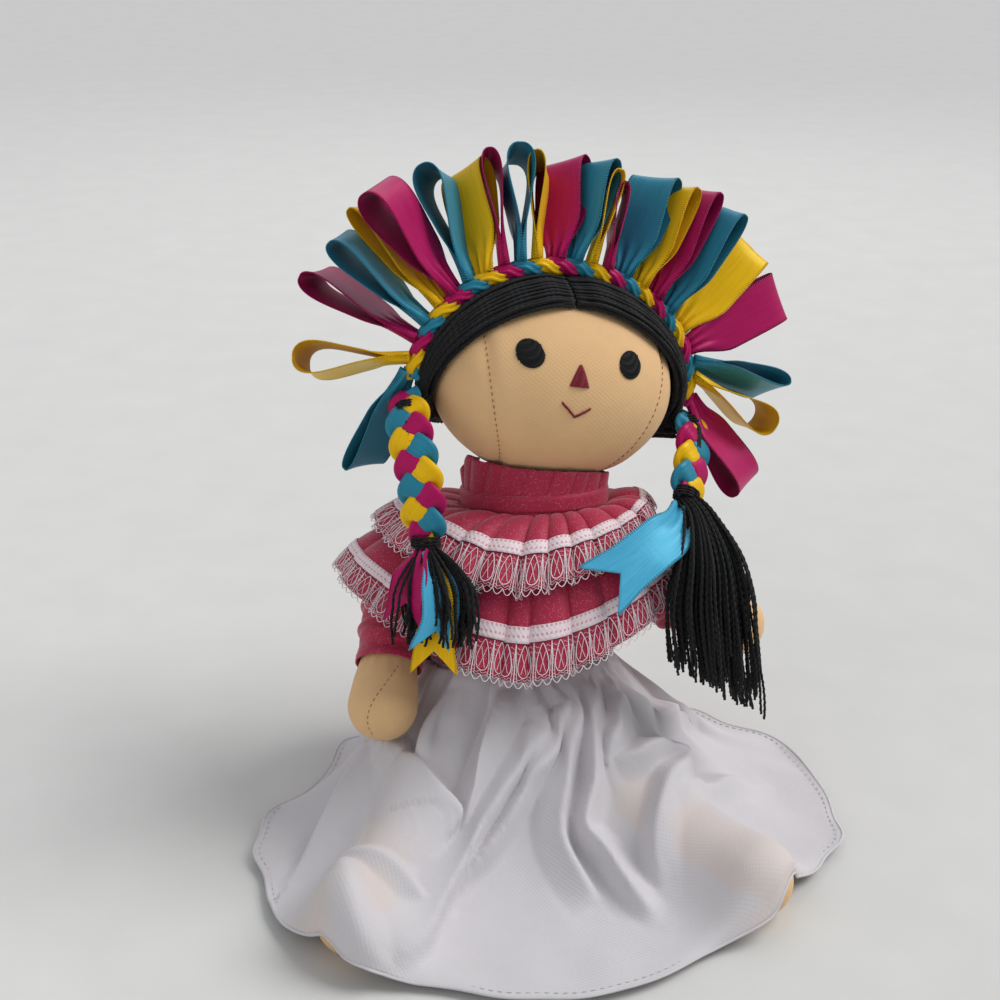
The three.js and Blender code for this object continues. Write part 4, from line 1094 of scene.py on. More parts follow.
# Each loop of the crown: place along the headband, aim and lean back in degrees, length, turn of its face in
# degrees and how far it gapes
LOOPS = (
    (0.020, -99, 23, 35.3, 57, 1.6), (0.045, -166, 31, 32.6, 21, 4.4), (0.089, 156, 38, 37.3, -20, 3.0),
    (0.130, 144, 21, 34.6, -26, 2.8), (0.177, 132, 32, 36.8, -43, 2.0), (0.215, 134, 16, 37.1, -42, 4.4),
    (0.253, 109, 31, 35.5, -34, 4.2), (0.290, 96, 37, 35.1, 28, 3.0), (0.337, 95, 34, 34.5, -18, 2.6),
    (0.375, 91, 27, 33.8, -14, 3.8), (0.413, 87, 27, 31.1, -30, 2.4), (0.456, 79, 32, 33.1, 28, 3.0),
    (0.499, 77, 16, 30.9, 14, 2.2), (0.540, 78, 13, 27.4, -16, 1.6), (0.582, 86, 9, 24.9, -18, 1.4),
    (0.621, 70, 18, 32.8, 30, 2.6), (0.668, 70, 13, 32.7, 21, 2.2), (0.714, 69, 10, 35.7, 21, 2.2),
    (0.758, 65, 3, 35.5, 23, 2.2), (0.807, 48, 13, 36.5, 71, 1.7), (0.858, 30, 9, 37.0, 86, 1.7),
    (0.893, -10, 10, 35.4, -29, 2.4), (0.925, -24, -2, 30.6, 180, 4.6), (0.978, -51, -16, 32.4, 50, 3.0),
)


# A loop's width where it is tied, and how far it starts off the headband's middle line
TIED_WIDTH = 6.0 * MM
ROPE_RADIUS = 1.7


class DOLL_OT_crown(bpy.types.Operator):
    """Folds the ribbon loops of the crown"""

    bl_idname = "doll.crown"
    bl_label = "Crown loops"

    def execute(self, context):
        draw = random.Random(5)
        band = band_arc(1000)
        for index, loop in enumerate(LOOPS):
            points, length = self.loop(*loop, band, draw)
            name = f"crown_loop_{index + 1:02d}"
            piece = add_ribbon(name, place(points, HEAD), index % 3)
            settle(piece, "head", RIBBON_SLOTS[index % 3], f"ribbon_loop_{index + 1:02d}")
        return {"FINISHED"}

    def loop(self, share, aim, back, reach, twist, gape_at, band, draw):
        """One loop: out from the headband, round its tip and back, folded small where it is tied."""
        aim, back, twist = (math.radians(angle) for angle in (aim, back, twist))
        base = band[round(share * 999)]
        outward = unit((base - HEAD_MIDDLE) * (1, 0, 1))
        base = base + outward * ROPE_RADIUS * MM
        along = np.array((math.cos(aim) * math.cos(back), math.sin(back), math.sin(aim) * math.cos(back)))
        front = unit(np.array((0, -1, 0)) + along * along[1])
        tangent = np.cross(front, along)
        width = front * math.cos(twist) - tangent * math.sin(twist)
        gape = np.cross(along, width)
        t = np.linspace(0, 1, 61)
        out = np.sin(math.pi * t) ** 0.85
        split = (1 - 2 * t) * 0.45 * MM + 1.15 * gape_at * MM * np.sin(TAU * t) * out
        middle = base + along * (reach * MM * out)[:, None] + gape * split[:, None]
        full = ribbons().width
        wide = mix(TIED_WIDTH, full, ramp(0, 0.42, out))
        q = np.linspace(-1, 1, 17)
        side = np.sign(0.5 - t)[:, None]
        tight = (1.7 * MM * (1 - wide / full))[:, None]
        fold = np.cos(3 * math.pi * q + draw.uniform(-0.6, 0.6))[None] * tight
        bow = (q**2 - 0.4)[None] * (draw.uniform(0.3, 0.9) * MM * np.sin(math.pi * t))[:, None] * side
        spread = width * (wide[:, None] * q / 2)[..., None]
        points = middle[:, None] + spread + gape * (fold * side + bow)[..., None]
        return points, np.linalg.norm(np.diff(middle, axis=0), axis=1).sum()


def plait_strands(line, facing, periods, across, depth, half_width, half_depth, taper):
    """Rows of points of three flat ribbons that cross a plait from edge to edge, over and under."""
    _, side, front = path_frames(line, facing)
    along = np.linspace(0, 1, len(line))
    pinch = mix(taper[0], 1, ramp(0, 0.2, along)) * mix(1, taper[1], ramp(0.86, 1, along))
    angle = ring(28)
    q = (np.sign(np.cos(angle)) * np.abs(np.cos(angle)) ** 0.7)[None]
    flat = (np.sign(np.sin(angle)) * np.abs(np.sin(angle)) ** 0.6)[None]
    strands = []
    for k in range(3):
        turn = TAU * (periods * along + k / 3)
        sway = np.arcsin(0.97 * np.sin(turn)) / math.asin(0.97)
        over = np.tanh(1.6 * np.sin(2 * turn))
        middle = (line + side * (across * pinch * sway)[:, None] + front * (depth * pinch * over)[:, None])
        _, s, f = path_frames(middle, front)
        wide = half_width * pinch * mix(0.8, 1.06, (1 + over) / 2)
        crease = 1 - 0.22 * bell(q - 0.3, 0.12) - 0.16 * bell(q + 0.4, 0.1)
        points = (middle[:, None]
                  + s[:, None] * (wide[:, None] * q)[..., None]
                  + f[:, None] * (half_depth * pinch[:, None] * flat * crease)[..., None])
        strands.append(points)
    return strands


# The two ties of a plait: place on its line, radius, turns and height of the winding
TIES = ((24, 3.2, 2.4, 2.0), (185, 4.0, 3.6, 3.2))
PLAIT_STEPS = 190


class DOLL_OT_plaits(bpy.types.Operator):
    """Plaits three ribbons on each side and ties them with yarn"""

    bl_idname = "doll.plaits"
    bl_label = "Plaits"

    def execute(self, context):
        for side, points, facing, periods, order in (
            ("right", PLAIT_RIGHT, (-0.25, -0.9, 0.3), 2.3, (2, 1, 0)),
            ("left", PLAIT_LEFT, (0.45, -0.8, 0.2), 1.5, (0, 1, 2)),
        ):
            line = route(np.array(points) * MM, PLAIT_STEPS)
            strands = plait_strands(
                line, facing, periods, across=3.8 * MM, depth=1.5 * MM, half_width=3.25 * MM,
                half_depth=1.2 * MM, taper=(0.6, 0.62))
            pieces = [
                close_ends(add_grid(f"strand_{k}", strand, satins()[order[k]], around=True))
                for k, strand in enumerate(strands)]
            settle(join(pieces, "plait_" + side), "plait_" + side, "magenta_ribbon", "braid_" + side)
            self.ties(side, line, facing)
        return {"FINISHED"}

    def ties(self, side, line, facing):
        """Yarn wound round the top and the foot of a plait."""
        tangent, across, front = path_frames(line, facing)
        lines = []
        for at, radius, turns, spread in TIES:
            turn = np.linspace(0, TAU * turns, 70)[:, None]
            climb = np.linspace(-0.5, 0.5, 70)[:, None] * spread
            wound = across[at] * (radius * np.cos(turn)) + front[at] * (radius * 0.85 * np.sin(turn))
            lines.append(line[at] + (wound + tangent[at] * climb) * MM)
        tie = add_yarn("plait_tie_" + side, lines, threads().tassel_yarn, black_yarn())
        settle(tie, "plait_" + side, "black_yarn")


TASSEL_STEPS = 60
CLUMPS = 13


class DOLL_OT_tassels(bpy.types.Operator):
    """Hangs the loose yarn ends below each tie"""

    bl_idname = "doll.tassels"
    bl_label = "Tassels"

    def execute(self, context):
        size = threads()
        self.tassel(
            "right", TASSEL_RIGHT, size.tassel_right, spread=(11.5, 6.0), facing=(-0.25, -0.9, 0.3),
            strays=16, slope=0.0, draw=random.Random(21))
        self.tassel(
            "left", TASSEL_LEFT, size.tassel_left, spread=(11.5, 8.5), facing=(0.25, -0.9, 0.3),
            strays=14, slope=0.3, draw=random.Random(22))
        return {"FINISHED"}

    def tassel(self, side, points, count, spread, facing, strays, slope, draw):
        """Strands in clumps, a few of them loose; the slope shortens those on the doll's right."""
        line = route(np.array(points) * MM, TASSEL_STEPS)
        _, across, front = path_frames(line, facing)
        across = across * np.sign(across[TASSEL_STEPS // 2, 0])
        along = np.linspace(0, 1, TASSEL_STEPS)
        clumps = [
            (TAU * (k + draw.uniform(-0.4, 0.4)) / CLUMPS, math.sqrt(draw.uniform(0.2, 1)))
            for k in range(CLUMPS)]
        lines = []
        for k in range(count + strays):
            stray = k >= count
            turn, share = clumps[k % CLUMPS]
            turn = turn + draw.uniform(-0.55, 0.55)
            share = (share + draw.uniform(-0.22, 0.22)) * (1.35 if stray else 1)
            reach = mix(0.25, 1, ramp(0.0, 0.5, along)) * share
            if stray:
                reach = reach * (1 + draw.uniform(0, 0.35) * along)
            waves = [
                draw.uniform(0.3, 0.9) * along
                * np.sin(TAU * (draw.uniform(0.8, 2.6) * along + draw.random()))
                for _ in range(2)]
            offset = (across * (spread[0] * np.cos(turn) * reach + waves[0])[:, None]
                      + front * (spread[1] * np.sin(turn) * reach + waves[1])[:, None]) * MM
            longest = 1 - slope * (1 - math.cos(turn) * share) / 2
            end = round(TASSEL_STEPS * min(draw.uniform(0.74, 1.04), 1) * min(longest, 1))
            lines.append(evenly((line + offset)[:end], 40))
        yarn = add_yarn("tassel_yarn_" + side, lines, threads().tassel_yarn, black_yarn())
        settle(yarn, "plait_" + side, "black_yarn", "tassel_" + side)


# Tails: name, body, colour, nodes stood for, full and pinched width, facing and route, in millimetres
TAILS = (
    ("blue_right", "plait_right", 0, ("ribbon_tail_blue_right",), 11.0, 4.5, (0.35, -0.9, 0.2),
     ((-26.6, -17.5, 92.5), (-24.6, -25.5, 88.0), (-24.4, -29.5, 79.0), (-26.8, -32.5, 70.5))),
    ("yellow_right", "plait_right", 1, ("ribbon_tail_yellow_right",), 11.0, 4.5, (-0.2, -0.95, 0.2),
     ((-27.5, -16.5, 92.0), (-26.0, -24.0, 86.0), (-25.8, -28.0, 76.0), (-26.4, -31.6, 63.5))),
    ("magenta_right", "plait_right", 2, (), 12.5, 5.0, (-0.65, -0.7, 0.2),
     ((-28.5, -16.5, 92.8), (-31.6, -22.5, 88.5), (-33.2, -25.0, 82.5), (-34.2, -26.0, 75.5))),
    ("blue_left", "plait_left", 0, ("ribbon_tail_blue_left",), 14.5, 8.0, (-0.1, -0.85, 0.5),
     ((49.0, 5.0, 94.0), (44.5, -6.0, 92.5), (35.0, -15.0, 89.5), (21.5, -23.5, 83.0))),
)


class DOLL_OT_tails(bpy.types.Operator):
    """Hangs the swallow-tailed ribbon ends from the ties"""

    bl_idname = "doll.tails"
    bl_label = "Ribbon tails"

    def execute(self, context):
        for name, body, colour, stands_for, wide, pinch, facing, points in TAILS:
            line = route(np.array(points) * MM, 48)
            tangent, side, front = path_frames(line, facing)
            along = np.linspace(0, 1, 48)
            width = mix(pinch, wide, ramp(0, 0.45, along)) * (1 + 0.22 * ramp(0.7, 1, along)) * MM
            q = np.linspace(-1, 1, 21)
            curl = 1.0 * MM * np.sin(math.pi * along)[:, None] * (q**2 - 0.3)[None]
            crease = 0.9 * MM * np.cos(2.5 * math.pi * q)[None] * ramp(0.5, 0, along)[:, None]
            grid = line[:, None] + side[:, None] * (width[:, None] * q / 2)[..., None]
            grid = grid + front[:, None] * (curl + crease)[..., None]
            notch = 0.62 * wide * MM * (0.75 - np.abs(q))[None] * ramp(0.5, 1, along)[:, None]
            grid = grid - tangent[:, None] * notch[..., None]
            piece = add_ribbon("tail_" + name, grid, colour)
            # The blue tails take the lighter copy of the blue satin, painted light on their lit faces.
            if colour == 0:
                piece.data.materials[0] = satin("bright blue satin", colours().painted_lit_blue)
            settle(piece, body, RIBBON_SLOTS[colour], *stands_for)
        return {"FINISHED"}


# Blouse

# One knife pleat: share of its width and how far it stands out
PLEAT_PROFILE = np.array((
    (0.00, 0.02), (0.05, 0.30), (0.14, 0.62), (0.30, 0.88), (0.52, 1.00), (0.76, 0.99), (0.98, 0.84),
    (1.10, 0.62), (1.12, 0.46), (1.05, 0.28), (0.93, 0.12), (0.86, 0.03), (0.92, 0.00),
))

# The ruffles by height and reach, each as in front and at the sides, in millimetres
UPPER = {"seam": 92, "bulge": (28, 36), "bulge_height": (91.5, 96), "reach": (37, 41), "hem": (75.5, 88)}
LOWER = {"seam": 89.5, "bulge": (33, 45), "bulge_height": (80, 88), "reach": (42, 52.7), "hem": (50.5, 75.2)}


def pleat_turns(pleats, draw):
    """Turn, stand-out and sag of each column round a row of knife pleats, folded to the doll's right."""
    edges = np.cumsum([1 + draw.uniform(-0.34, 0.34) for _ in range(pleats)])
    edges = np.concatenate(((0,), edges)) / edges[-1]
    share = []
    stand = []
    sag = []
    for k in range(pleats):
        share.append(edges[k] + PLEAT_PROFILE[:, 0] * (edges[k + 1] - edges[k]))
        stand.append(PLEAT_PROFILE[:, 1] * draw.uniform(0.75, 1.2))
        sag.append(draw.uniform(-0.6, 0.6) + draw.uniform(-0.5, 1.1) * (PLEAT_PROFILE[:, 0] - 0.5))
    return -TAU * np.concatenate(share), np.concatenate(stand), np.concatenate(sag)


def ruffle_points(ruffle, falls, pleats, depth):
    """Rows of points of a ruffle that falls from the neck, its pleats puffed out from its slope."""
    turns, stand, sag = pleats
    width, deep, shift = torso_section(ruffle["seam"])
    cos, sin = np.cos(turns), np.sin(turns)
    side = cos**2

    def reach_of(front_reach, side_reach):
        return 1 / np.hypot(cos / side_reach, sin / front_reach)

    seam = reach_of(deep + 2.6 * MM, width + 2.6 * MM)
    bulge = reach_of(*(r * MM for r in ruffle["bulge"]))
    hem = reach_of(*(r * MM for r in ruffle["reach"]))
    bulge_height = mix(*ruffle["bulge_height"], side) * MM
    hem_height = mix(*ruffle["hem"], side) * MM
    seam_height = ruffle["seam"] * MM
    rows = []
    for fall in falls:
        rest = 1 - fall
        radius = rest**2 * seam + 2 * rest * fall * bulge + fall**2 * hem
        height = rest**2 * seam_height + 2 * rest * fall * bulge_height + fall**2 * hem_height
        out = rest * (bulge - seam) + fall * (hem - bulge)
        down = rest * (seam_height - bulge_height) + fall * (bulge_height - hem_height)
        puff = depth * mix(0.3, 1, fall**0.6) * (stand - 0.5) / np.hypot(out, down)
        height = height + puff * out + 1.6 * fall**2 * sag * MM
        radius = radius + puff * down
        rows.append(np.stack((shift * rest + radius * cos, radius * sin, height), axis=1))
    return np.array(rows)


def grid_normals(points):
    """Normals of a closed ring of columns."""
    around = np.roll(points, -1, axis=1) - np.roll(points, 1, axis=1)
    down = np.gradient(points, axis=0)
    return unit(np.cross(around, down))


# Rows of points down the lace, those of them that are tape, how far it lies off the cloth and the
# thickness of its threads in millimetres
LACE_ROWS = 18
TAPE_ROWS = 6
LACE_OFF = 0.45
STRONG_THREAD = 0.32
FINE_THREAD = 0.17
SEAM_AND_SHADOW_THREAD = 0.42


class DOLL_OT_ruffles(bpy.types.Operator):
    """Pleats the two ruffles and edges them with lace"""

    bl_idname = "doll.ruffles"
    bl_label = "Ruffles and lace"

    def execute(self, context):
        size = clothes()
        for name, ruffle, seed in (("upper", UPPER, 31), ("lower", LOWER, 32)):
            pleats = pleat_turns(size.pleats, random.Random(seed))
            falls = np.linspace(0, 1, 26)
            points = place(ruffle_points(ruffle, falls, pleats, size.pleat_depth), TORSO)
            piece = wrap(name + "_ruffle_cloth", points, blouse_cloth(), size.cloth)
            settle(piece, "torso", "pink_satin", name + "_ruffle")
            drop = np.linalg.norm(np.diff(points, axis=0), axis=2).sum(axis=0).mean()
            self.lace(name, ruffle, pleats, drop)
        return {"FINISHED"}

    def lace(self, name, ruffle, pleats, drop):
        """A woven tape sewn near the hem, with a net of drops and fans below it and a dark seam thread at the
        tape's foot that is also painted shadow of the fold there.
        """
        size = clothes()
        top = 1 - size.lace_width * 0.9 / drop
        falls = np.linspace(top, 1 + size.lace_width * 0.1 / drop, LACE_ROWS)
        points = place(ruffle_points(ruffle, falls, pleats, size.pleat_depth), TORSO)
        normals = grid_normals(points)
        inward = points.mean(axis=(0, 1)) - points
        outer = points - normals * LACE_OFF * MM * np.sign((normals * inward).sum(axis=2).mean())
        tape = wrap(name + "_lace_tape", outer[:TAPE_ROWS], lace_tape(), 0.35 * MM)
        strong, fine = lace_lines(outer[TAPE_ROWS - 1:])
        # The dark thread along the tape's foot is its seam and a painted shadow of the fold below it.
        seam = np.vstack((outer[TAPE_ROWS - 1], outer[TAPE_ROWS - 1, :1]))
        nets = [
            add_yarn(f"{name}_lace_{kind}", lines, size_mm * MM, thread, plies=2, spacing=0.0006, twist=0.0)
            for kind, lines, size_mm, thread in (
                ("strong", strong, STRONG_THREAD, lace_thread()), ("fine", fine, FINE_THREAD, lace_thread()),
                ("seam", [seam], SEAM_AND_SHADOW_THREAD, seam_and_shadow_thread()))]
        piece = join([tape, *nets], name + "_lace_edging")
        settle(piece, "torso", "white_lace", name + "_lace")


def lace_lines(points):
    """Threads of the lace net, drawn flat and laid on rows of points of the pleated cloth."""
    closed = np.concatenate((points, points[:, :1]), axis=1)
    length = np.concatenate(((0,), np.cumsum(np.linalg.norm(np.diff(closed, axis=1), axis=2).mean(axis=0))))
    motifs = round(length[-1] / clothes().lace_motif)
    motif = length[-1] / motifs
    rows = len(points) - 1

    def lay(x, y):
        column = np.interp(np.mod(x, length[-1]), length, np.arange(len(length)))
        row = np.clip(y, 0, 1) * rows
        c, r = np.minimum(column.astype(int), len(length) - 2), np.minimum(row.astype(int), rows - 1)
        a, b = (column - c)[:, None], (row - r)[:, None]
        upper = closed[r, c] * (1 - a) + closed[r, c + 1] * a
        lower = closed[r + 1, c] * (1 - a) + closed[r + 1, c + 1] * a
        return upper * (1 - b) + lower * b

    t = np.linspace(0, 1, 15)
    turn = TAU * t
    swell = (1 - np.cos(turn)) / 2
    strong, fine = [], []
    for k in range(motifs):
        left = k * motif
        for half in (0.0, 0.5):
            strong.append(lay(left + motif * (half + 0.5 * t), 0.87 + 0.13 * np.sin(math.pi * t)))
        across = 0.47 * np.sin(turn) * (0.3 + 0.7 * swell)
        strong.append(lay(left + motif * (0.5 + across), 0.04 + 0.74 * swell))
        strong.append(lay(left + 0 * t, 0.02 + 0.86 * t))
        for side in (-1, 1):
            fine.append(lay(left + motif * side * 0.16 * t, 0.02 + 0.86 * t))
            fine.append(lay(left + motif * (0.5 + side * 0.3 * (t - 0.5)), 0.24 + 0.46 * t))
        for level, reach in ((0.12, 0.62), (0.24, 0.46), (0.38, 0.3), (0.54, 0.24), (0.7, 0.3)):
            fine.append(lay(left + motif * reach * (t - 0.5), level + 0.03 * np.sin(2 * turn)))
        for level in (0.81, 0.87):
            fine.append(lay(left + motif * t, level + 0.03 * np.sin(3 * turn)))
    return strong, fine


# Where on the torso the neckband and the collar are measured, where the neckband starts and its height
NECKBAND_HEIGHT = 92.6
NECKBAND_FOOT = 91.8
NECKBAND_WIDTH = 6.4
COLLAR_PLEATS = 21


class DOLL_OT_bodice(bpy.types.Operator):
    """Makes the blouse's bodice, neckband and standing collar"""

    bl_idname = "doll.bodice"
    bl_label = "Bodice and collar"

    def execute(self, context):
        size = clothes()
        turn = ring(120)
        rows = []
        for height in np.linspace(46.5, 95, 32):
            width, depth, shift = torso_section(height)
            grow = (0.9 + 0.9 * ramp(51, 48.5, height) + 0.25 * np.sin(turn * 13 + height * 0.21)) * MM
            rows.append(girth(shift, width + grow, depth + grow, turn, height * MM))
        bodice = wrap("blouse_bodice_cloth", place(np.array(rows), TORSO), blouse_cloth(), size.cloth)
        settle(bodice, "torso", "pink_satin", "blouse_bodice")
        self.neckband()
        self.collar(size)
        return {"FINISHED"}

    def neckband(self):
        """A folded band with a stitched edge."""
        width, depth, shift = torso_section(NECKBAND_HEIGHT)
        turn = ring(144)
        rows = []
        for share in np.linspace(0, 1, 25):
            grow = (1.9 + 1.0 * (1 - (2 * share - 1) ** 8) + 0.12 * np.sin(turn * 9)) * MM
            grow = grow - 0.55 * MM * bell(share - 0.2, 0.06)
            height = NECKBAND_FOOT + NECKBAND_WIDTH * share
            rows.append(girth(shift, width + grow, depth + grow, turn, height * MM))
        band = wrap("neckband_fold", place(np.array(rows), TORSO), blouse_cloth(), 0.9 * MM, offset=-1)
        settle(band, "torso", "pink_satin", "neckband")

    def collar(self, size):
        """A short pleated frill that stands round the neck."""
        width, depth, shift = torso_section(NECKBAND_HEIGHT)
        turns, stand, _ = pleat_turns(COLLAR_PLEATS, random.Random(33))
        rows = []
        top = self.under_head(turns, width + 1.8 * MM, depth + 1.8 * MM, shift)
        for share in np.linspace(0, 1, 16):
            height = mix(93.2, top, share)
            grow = (mix(1.2, 1.8, share) + mix(0.5, 1.9, share) * (stand - 0.5)) * MM
            slant = turns + 0.2 * share
            rows.append(girth(shift, width + grow, depth + grow, slant, height * MM))
        frill = wrap("collar_frill", place(np.array(rows), TORSO), blouse_cloth(), size.cloth)
        settle(frill, "torso", "pink_satin", "collar_ruffle")

    def under_head(self, turns, width, depth, shift):
        """Height in millimetres where the collar meets the head; lower behind, where the head nods."""
        heights = np.linspace(99, 112, 53)
        rim = girth(shift, width, depth, turns, 0.0)
        points = rim[None] + np.array((0, 0, MM)) * heights[:, None, None]
        local = place(place(points, TORSO), HEAD.inverted()) - HEAD_MIDDLE
        free = np.linalg.norm(local / (HEAD_HALF + 1.6 * MM), axis=2) > 1
        first = np.where(free.all(axis=0), len(heights) - 1, np.argmin(free, axis=0))
        behind = mix(112, 102.5, ramp(-0.5, 0.3, np.sin(turns)))
        return np.minimum(heights[first], behind)


# Arms and legs


def limb_matrix(pivot, aim):
    turn = Vector((0, 0, -1)).rotation_difference(Vector(aim).normalized())
    return Matrix.Translation(Vector(pivot) * MM) @ turn.to_matrix().to_4x4()


ARMS = {
    "right": limb_matrix((-34.67, 14.35, 67.49), (-0.16, -0.77, -0.61)),
    "left": limb_matrix((34.67, 14.35, 67.49), (0.85, 0.11, -0.51)),
}
ARM_STATIONS = ((0, 9), (14, 8.6), (24, 8.2), (27, 8.3), (33, 9.6), (39.75, 10.2))
ARM_TOP = 9
ARM_LENGTH = 50
ARM_FLATNESS = 0.97

# Where the hand's seam runs round the arm, at the wrist and at the fingertips
HAND_SEAMS = {"right": (math.radians(-58), math.radians(-128)), "left": (0.35, 0.35)}


def limb_radius(stations, top, length, along):
    """Radius of a stuffed limb with round ends, by distance from its pivot."""
    places, radii = np.array(stations).T
    smooth = np.interp(along, places, radii)
    tip = np.clip((along - places[-1]) / (length - places[-1]), 0, 1)
    start = np.clip(-along / top, 0, 1)
    return smooth * np.sqrt(np.maximum(1 - start**2, 0.002)) * np.sqrt(np.maximum(1 - tip**2, 0.002))


def limb_points(wide, turn, along, flatness=1.0):
    """Points round a limb that hangs along its own -Z."""
    return np.stack(np.broadcast_arrays(
        wide * np.cos(turn), wide * np.sin(turn) * flatness, -along), axis=-1) * MM


class DOLL_OT_arms(bpy.types.Operator):
    """Makes the stuffed arms with their hands, and the sleeves"""

    bl_idname = "doll.arms"
    bl_label = "Arms and sleeves"

    def execute(self, context):
        for side, matrix in ARMS.items():
            self.arm(side, matrix)
            self.sleeve(side, matrix)
        return {"FINISHED"}

    def arm(self, side, matrix):
        top = -ARM_TOP * np.cos(np.linspace(0.05, math.pi / 2, 10))
        tip = 39.75 + 10.25 * np.sin(np.linspace(0.08, math.pi / 2 - 0.05, 18))
        along = np.concatenate((top, np.linspace(1.5, 39.5, 40), tip))
        radius = limb_radius(ARM_STATIONS, ARM_TOP, ARM_LENGTH, along)
        turn = ring(64)
        pucker = 0.18 * bell(along - 28, 3)[:, None] * np.sin(turn * 14)[None]
        seam = np.interp(along, (25, 49), HAND_SEAMS[side])[:, None]
        groove = 0.4 * bell(np.sin(turn - seam), 0.09) * ramp(24, 32, along)[:, None]
        wide = radius[:, None] + pucker - groove
        points = place(limb_points(wide, turn, along[:, None], ARM_FLATNESS), matrix)
        stuff(f"arm_{side}_cotton", points, "arm_" + side, 0.9, f"arm_{side}_skin", f"arm_{side}_stuffing")
        reach = np.linspace(27, 49.4, 40)
        radius = limb_radius(ARM_STATIONS, ARM_TOP, ARM_LENGTH, reach) - 0.28
        seam = np.interp(reach, (25, 49), HAND_SEAMS[side])
        lines = [
            place(limb_points(radius, seam + half, reach, ARM_FLATNESS), matrix) for half in (0, math.pi)]
        size = threads()
        seams = add_stitches(f"hand_{side}_seam", lines, seam_thread(), size.stitch, pitch=1.6 * size.stitch)
        settle(seams, "arm_" + side, "skin_cotton")

    def sleeve(self, side, matrix):
        top = -10.2 * np.cos(np.linspace(0.3, math.pi / 2, 10))
        along = np.concatenate((top, np.linspace(1, 27.5, 44)))
        radius = np.interp(along, (-11, 0, 14, 24, 27.5), (10.2, 10.2, 10.1, 9.5, 9.4))
        radius = radius * np.sqrt(np.maximum(1 - np.clip(-along / 10.2, 0, 1) ** 2, 0.01))
        turn = ring(72)
        phase = 0.7 if side == "left" else 2.1
        crumple = 0.5 * np.sin(along[:, None] * 0.75 + 1.3 * np.sin(turn * 2 + phase))
        crumple = crumple + 0.25 * np.sin(along[:, None] * 1.6 + turn * 3 + phase)
        hem = ramp(25.2, 25.6, along) * 0.35
        crumple = crumple * ramp(-2, 6, along)[:, None] * ramp(26, 20, along)[:, None]
        wide = radius[:, None] + crumple + hem[:, None]
        points = place(limb_points(wide, turn, along[:, None]), matrix)
        piece = wrap("sleeve_cloth_" + side, points, blouse_cloth(), clothes().cloth)
        settle(piece, "arm_" + side, "pink_satin", "sleeve_" + side)


# Side and splay of each leg, and the hip's place and the leg's radii in millimetres
LEGS = {"right": (-1, math.radians(28)), "left": (1, math.radians(44))}
HIP = (26.71, -25.84)
LEG_STATIONS = ((0, 12.5), (37.2, 9.5), (49.5, 10.5))
LEG_TOP = 12.5
LEG_TOE = 49.5
LEG_LENGTH = 60


def leg_points(side, sides):
    """Rows of points of a stuffed leg that lies on the floor."""
    sign, splay = LEGS[side]
    top = -LEG_TOP * np.cos(np.linspace(0.05, math.pi / 2, 12))
    tip = LEG_TOE + (LEG_LENGTH - LEG_TOE) * np.sin(np.linspace(0.06, math.pi / 2 - 0.05, 18))
    along = np.concatenate((top, np.linspace(1.5, 49, 44), tip))
    radius = limb_radius(LEG_STATIONS, LEG_TOP, LEG_LENGTH, along)
    middle = np.interp(along, *np.array(LEG_STATIONS).T) - 0.5
    turn = ring(sides)
    points = np.stack((
        radius[:, None] * np.cos(turn),
        np.broadcast_to(-along[:, None], (len(along), sides)),
        np.maximum(middle[:, None] + radius[:, None] * np.sin(turn), 0.1)), axis=-1) * MM
    hip = Matrix.Translation((sign * HIP[0] * MM, HIP[1] * MM, 0)) @ Matrix.Rotation(sign * splay, 4, "Z")
    return place(points, hip)


class DOLL_OT_legs(bpy.types.Operator):
    """Makes the stuffed legs under the skirt"""

    bl_idname = "doll.legs"
    bl_label = "Legs"

    def execute(self, context):
        for side in LEGS:
            points = leg_points(side, 56)
            stuff(
                f"leg_{side}_cotton", points, "leg_" + side, 0.9, f"leg_{side}_skin", f"leg_{side}_stuffing")
        return {"FINISHED"}


# Skirt


def leg_cover(x, y):
    """Height of cloth that lies over the legs."""
    cover = np.full(x.shape, -1.0)
    for sign, splay in LEGS.values():
        dx, dy = x - sign * HIP[0] * MM, y - HIP[1] * MM
        ahead = dx * sign * math.sin(splay) - dy * math.cos(splay)
        along = np.clip(ahead, 0, LEG_TOE * MM)
        across = dx * math.cos(splay) + dy * sign * math.sin(splay)
        away = np.hypot(across, ahead - along)
        radius = np.interp(along / MM, *np.array(LEG_STATIONS).T) * MM
        grown = radius + 1.6 * MM
        dome = np.sqrt(np.maximum(grown**2 - away**2, 0))
        top = radius - 0.5 * MM + dome - np.maximum(away - grown, 0) * 1.2
        cover = np.maximum(cover, top)
    return cover


# How far the hem reaches from its middle, in millimetres, by turn in degrees
HEM_MIDDLE = (5, -14)
HEM_REACH = (
    (5, 91), (13, 85), (34, 80), (60, 76), (90, 74), (120, 72), (140, 68), (160, 69), (175, 78), (188, 86),
    (205, 88),
    (227, 87.5), (249, 84.5), (270, 82.5), (294, 80.5), (306, 81), (319, 82), (332, 83), (343, 87), (354, 93),
)

